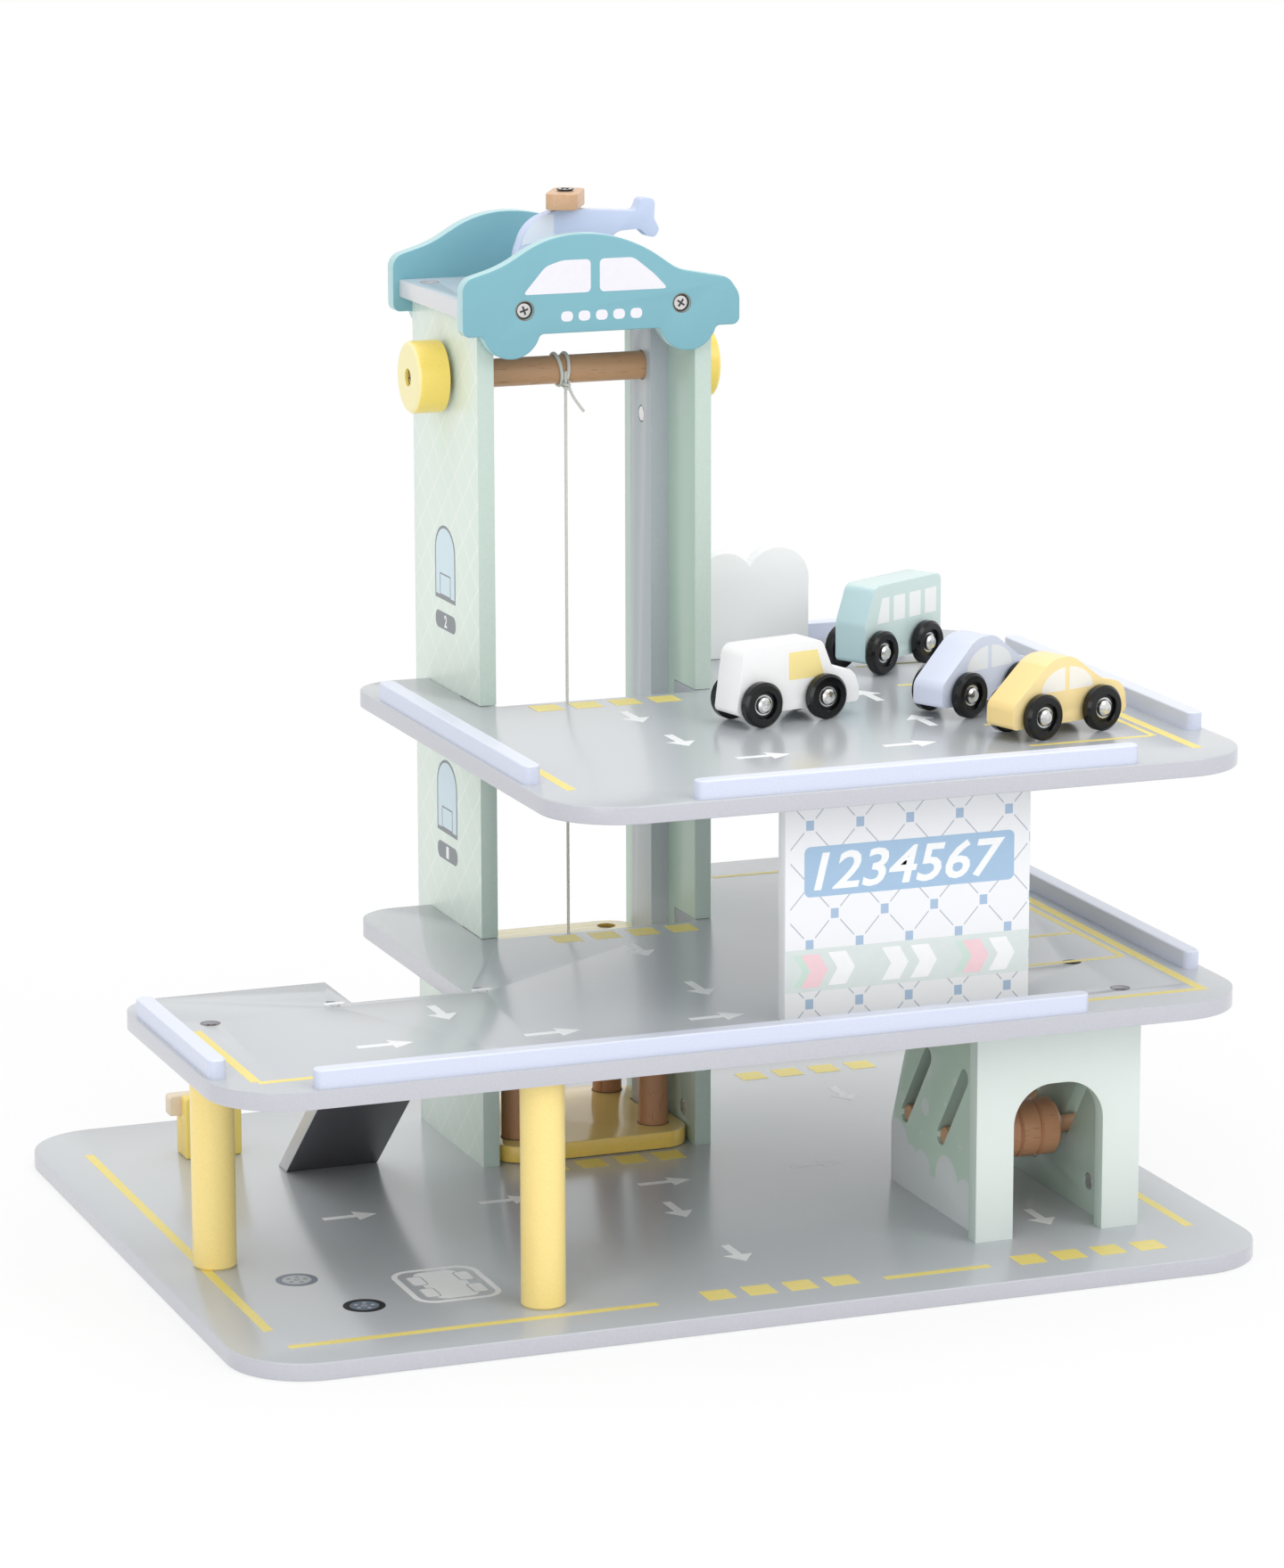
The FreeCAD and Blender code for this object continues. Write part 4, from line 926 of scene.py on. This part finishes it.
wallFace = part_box("tower_left_wall")[0][0] * 1000
levelSigns = [  # middle across the wall, window's lowest point, middle of the tag, number
    (-120.9, 304.7, 293.4, "2"), (-121.3, 178.6, 168.3, "1"),
]
levelNumbers = {"size": 8.804, "width": 4.2, "lean": 0, "weight": 0.25, "depth": 0.1}
windowPrint = {
    "frame": (32.6, 40, 14), "pane": (29.6, 36.3, 12.8), "paneFoot": 2.2,  # widths, heights and rises
    "hatch": (8.6, 2.2, 14), "hatchHole": (7.8, 2.8, 13.2),  # half widths, lows and highs
    "tag": (32.4, 9.2, 4.2),  # width, height and corner
}


def archOutline(middle, low, width, height, rise):
    # A window outline: upright sides and an elliptical head of that rise
    points = [(middle - width / 2, low), (middle + width / 2, low)]
    for step in range(13):
        angle = math.pi * step / 12
        points.append((middle + width / 2 * math.cos(angle), low + height - rise + rise * math.sin(angle)))
    return points


def hatchOutline(middle, foot, half, low, high):
    left, right = middle - half, middle + half
    return [(left, foot + low), (right, foot + low), (right, foot + high), (left, foot + high)]


def printLevels():
    look = windowPrint
    for middle, low, tagMiddle, number in levelSigns:
        pane = archOutline(middle, low + look["paneFoot"], *look["pane"])
        frameShape = startShape("windowFrame" + number)
        addLoops(archOutline(middle, low, *look["frame"]), pane)
        addLoops(roundOutline(middle, tagMiddle, *look["tag"]))
        endShape(frameShape, wallFace, "dark", facing="left")
        glass = startShape("windowGlass" + number)
        addLoops(pane)
        endShape(glass, wallFace, "sky", facing="left", depth=0.05)
        hatch = startShape("windowHatch" + number)
        addLoops(hatchOutline(middle, low, *look["hatch"]), hatchOutline(middle, low, *look["hatchHole"]))
        endShape(hatch, wallFace, "dark", facing="left", depth=0.08)
        printNumbers("levelNumber" + number, number, (middle, tagMiddle), wallFace, "left", levelNumbers)


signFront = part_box("front_sign")[0][1] * 1000
signPanes = [  # the car's two side windows, rounded, and the row of short dashes below them
    [(-33.5, 472.6), (3.5, 472.6), (3.5, 489.6), (-12, 489.6), (-21, 486.8)],
    [(8.5, 472.6), (46, 472.6), (38.5, 480.5), (27, 489.6), (8.5, 489.6)],
]
signDashes = {"start": -9.5, "step": 9.5, "level": 460.6, "count": 5, "shape": (6.4, 5.2, 2.2), "paneCorner": 2.4}


def printSign():
    panes = startShape("signPanes")
    for pane in signPanes:
        addLoops(pane)
    bpy.ops.mesh.select_all(action="SELECT")
    bpy.ops.mesh.bevel(offset=signDashes["paneCorner"] * mm, offset_pct=0, segments=4, affect="VERTICES")
    for step in range(signDashes["count"]):
        along = signDashes["start"] + signDashes["step"] * step
        addLoops(roundOutline(along, signDashes["level"], *signDashes["shape"]))
    endShape(panes, signFront, "signWhite", facing="front")


printPanel()
printLevels()
printSign()

print("stage: screws and pegs")
screwLook = {
    "head": 4.5, "crossReach": 2.3, "crossHalf": 0.5, "crossRise": 1.08, "crossDepth": 0.16,
    "firstTurn": 18, "nextTurn": 37,
    "rim": (0.15, -0.8), "rimRise": 0.72, "rimDepth": 0.1, "board": (0.55, 0.15), "boardDepth": 0.05,
}
screwGroups = [  # name, places, seat of the heads, surface of a raw board round them, facing, body
    ("deckScrew", [(-237.5, -48), (-106.5, -167.5), (141, -89.6), (211.5, -89.6), (141, -147.1), (211.5, -147.1)],
     131.0, 133.5, "up", "garage"),
    ("roofScrew", [(-51, 83), (69, 83), (-51, 155), (69, 155)], 466.5, 469.0, "up", "garage"),
    ("liftScrew", [(-30, 87), (48, 87), (-30, 158), (48, 158)], 108.5, 111.0, "up", "lift"),
    ("frontSignScrew", [(-32.4, 464.5), (53.7, 464.5)], 60.5, 58.0, "front", "garage"),
    ("backSignScrew", [(32.4, 464.5), (-53.7, 464.5)], 177.5, 180.0, "back", "garage"),
    ("leftKnobScrew", [(-120, 424.3)], -72.8, None, "left", "winch"),
    ("rightKnobScrew", [(120, 424.3)], 90.8, None, "right", "winch"),
    ("rotorScrew", [(12, 119)], 518.4, None, "up", "helicopter"),
]


def detailScrews():
    look = screwLook
    for name, places, seat, surface, facing, body in screwGroups:
        outward = 1 if facing in ("up", "back", "right") else -1
        # The dark cross on each head is painted shade for the cross recess; the dark ring round each head is painted
        # shade in the gap about it.
        crossShade = startShape(name + "Crosses")
        for index, (x, y) in enumerate(places):
            addCross(x, y, look["crossReach"], look["crossHalf"], look["firstTurn"] + look["nextTurn"] * index)
        endShape(crossShade, seat + look["crossRise"] * outward, "recess", body, facing, look["crossDepth"])
        rimShade = startShape(name + "Rims")
        for x, y in places:
            addLoops(*[circleOutline(x, y, look["head"] + more, 28) for more in look["rim"]])
        endShape(rimShade, seat + look["rimRise"] * outward, "recess", body, facing, look["rimDepth"])
        if surface is not None:
            edges = startShape(name + "Edges")
            for x, y in places:
                addLoops(*[circleOutline(x, y, look["head"] + more, 28) for more in look["board"]])
            endShape(edges, surface, "rawBoard", body, facing, look["boardDepth"])


detailScrews()
pegLook = {"places": [(-168.7, -33.2), (-90.5, -33.2)], "shape": (11.0, 4.0, 1.9), "level": 132.9, "depth": 0.8}
seatLook = {"places": [(-30, 87), (48, 87), (-30, 158), (48, 158)], "rings": (8.5, 7.9), "level": 18.3, "depth": 0.25}
pegs = startShape("rampPegs")
for x, y in pegLook["places"]:
    addLoops(roundOutline(x, y, *pegLook["shape"]))
endShape(pegs, pegLook["level"], "white", depth=pegLook["depth"])
seats = startShape("postSeats")
for x, y in seatLook["places"]:
    addLoops(*[circleOutline(x, y, radius) for radius in seatLook["rings"]])
endShape(seats, seatLook["level"], "rawBoard", "lift", depth=seatLook["depth"])

print("stage: rope")
rope = {"thickness": 1.6, "x": 9.0, "y": 111.5, "top": 424.3, "low": 111.0, "roller": 120.0, "parts": 12}
winding = {
    "reach": 8.66125, "steps": 14, "thickness": 1.9, "strands": [(-3.4, -0.9), (2.6, 0.9)],  # offsets above, below
    "knot": {"steps": 15, "turn": 55, "wide": 1.7, "deep": 1.5, "y": 111.3, "top": 418.6, "fall": 0.27},
    "tail": [
        (10.0, 110.6, 418.0), (10.9, 110.2, 414.5), (12.8, 110.0, 410.4), (15.6, 110.2, 406.6), (17.6, 110.6, 404.2),
        (18.8, 110.9, 402.6),
    ],
    "endThickness": 1.5,
}


def cordPiece(name, points, thickness, closed=False):
    # A round cord along a smooth spline through points given in millimetres
    clearSelection()
    line = bpy.data.curves.new(name, "CURVE")
    line.dimensions = "3D"
    line.bevel_depth = thickness / 2 * mm
    line.bevel_resolution = 3
    line.use_fill_caps = True
    spline = line.splines.new("NURBS")
    spline.points.add(len(points) - 1)
    for point, spot in zip(spline.points, points):
        point.co = (spot[0] * mm, spot[1] * mm, spot[2] * mm, 1)
    spline.order_u = 3
    spline.use_cyclic_u = closed
    spline.use_endpoint_u = not closed
    spline.resolution_u = 5
    piece = bpy.data.objects.new(name, line)
    bpy.context.collection.objects.link(piece)
    piece.select_set(True)
    bpy.context.view_layer.objects.active = piece
    bpy.ops.object.convert(target="MESH")
    dress(piece, cotton)
    return piece


def ropeWinding():
    # Two strands looped round the roller, drawn together by a knot in front, and the rope's loose end.
    reach, knot = winding["reach"], winding["knot"]
    strands = []
    for index, (top, low) in enumerate(winding["strands"]):
        loop = []
        for step in range(winding["steps"]):
            angle = math.tau * step / winding["steps"]
            share = (1 + math.cos(angle)) / 2
            loop.append((
                rope["x"] + low + (top - low) * share, rope["roller"] - reach * math.sin(angle),
                rope["top"] + reach * math.cos(angle)))
        strands.append(cordPiece(f"ropeLoop{index}", loop, winding["thickness"], True))
    coil = []
    for step in range(knot["steps"]):
        angle = math.radians(knot["turn"] * step)
        coil.append((
            rope["x"] + 0.5 + knot["wide"] * math.cos(angle), knot["y"] + knot["deep"] * math.sin(angle),
            knot["top"] - knot["fall"] * step))
    strands.append(cordPiece("ropeKnot", coil, winding["endThickness"]))
    strands.append(cordPiece("ropeTail", winding["tail"], winding["endThickness"]))
    clearSelection()
    for piece in strands:
        piece.select_set(True)
    bpy.context.view_layer.objects.active = strands[0]
    bpy.ops.object.join()
    turns = bpy.context.object
    turns.name = "ropeWinding"
    bpy.ops.object.shade_smooth()
    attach(turns, "winch")
    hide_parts("rope_turns")


def ropeRun():
    # The straight run down to the cabin
    parts = rope["parts"]
    levels = [rope["top"] + (rope["low"] - rope["top"]) * step / parts for step in range(parts + 1)]
    run = cordPiece("ropeRun", [(rope["x"], rope["y"], level) for level in levels], rope["thickness"])
    bpy.ops.object.shade_smooth()
    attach(run, "garage")
    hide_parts("lift_rope")
    slide = next(joint for joint in frame["joints"] if joint["name"] == "lift_slide")
    travel = slide["range_m"][1] * 1000
    length = rope["top"] - rope["low"]
    (length - travel) / length
    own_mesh(run)


ropeWinding()
ropeRun()

print("stage: floor")
floorLook = {"size": 14, "drop": 0.0004, "glow": 0.8, "near": 380, "fade": 420}


def floorPaper():
    # White paper that keeps the object's shadow near it and fades into the white background
    sheet = Sheet("floorPaper")
    sheet.set(colour=(0.9, 0.9, 0.9, 1), rough=0.9)
    glow = sheet.node("Emission", {}, {"Color": (1, 1, 1, 1), "Strength": 1.0})
    x, y, z = sheet.coordinates()
    distance = (x * x + y * y).power(0.5)
    fade = ((distance - floorLook["near"]) / floorLook["fade"]).most(0).least(1)
    seen = sheet.node("LightPath", {}, {}, "Is Camera Ray").most(sheet.node("LightPath", {}, {}, "Is Glossy Ray"))
    shading = Link(sheet, sheet.shader.outputs[0])
    share = seen * (fade * (1 - floorLook["glow"]) + floorLook["glow"])
    mixed = sheet.node("MixShader", {}, {0: share, 1: shading, 2: glow})
    sheet.join(sheet.tree.nodes["Material Output"].inputs["Surface"], mixed)
    return sheet.material


clearSelection()
bpy.ops.mesh.primitive_plane_add(size=floorLook["size"], location=(0, 0, -floorLook["drop"]))
floor = bpy.context.object
floor.name = "studioFloor"
dress(floor, floorPaper())
setUpCamera()
setUpLights()
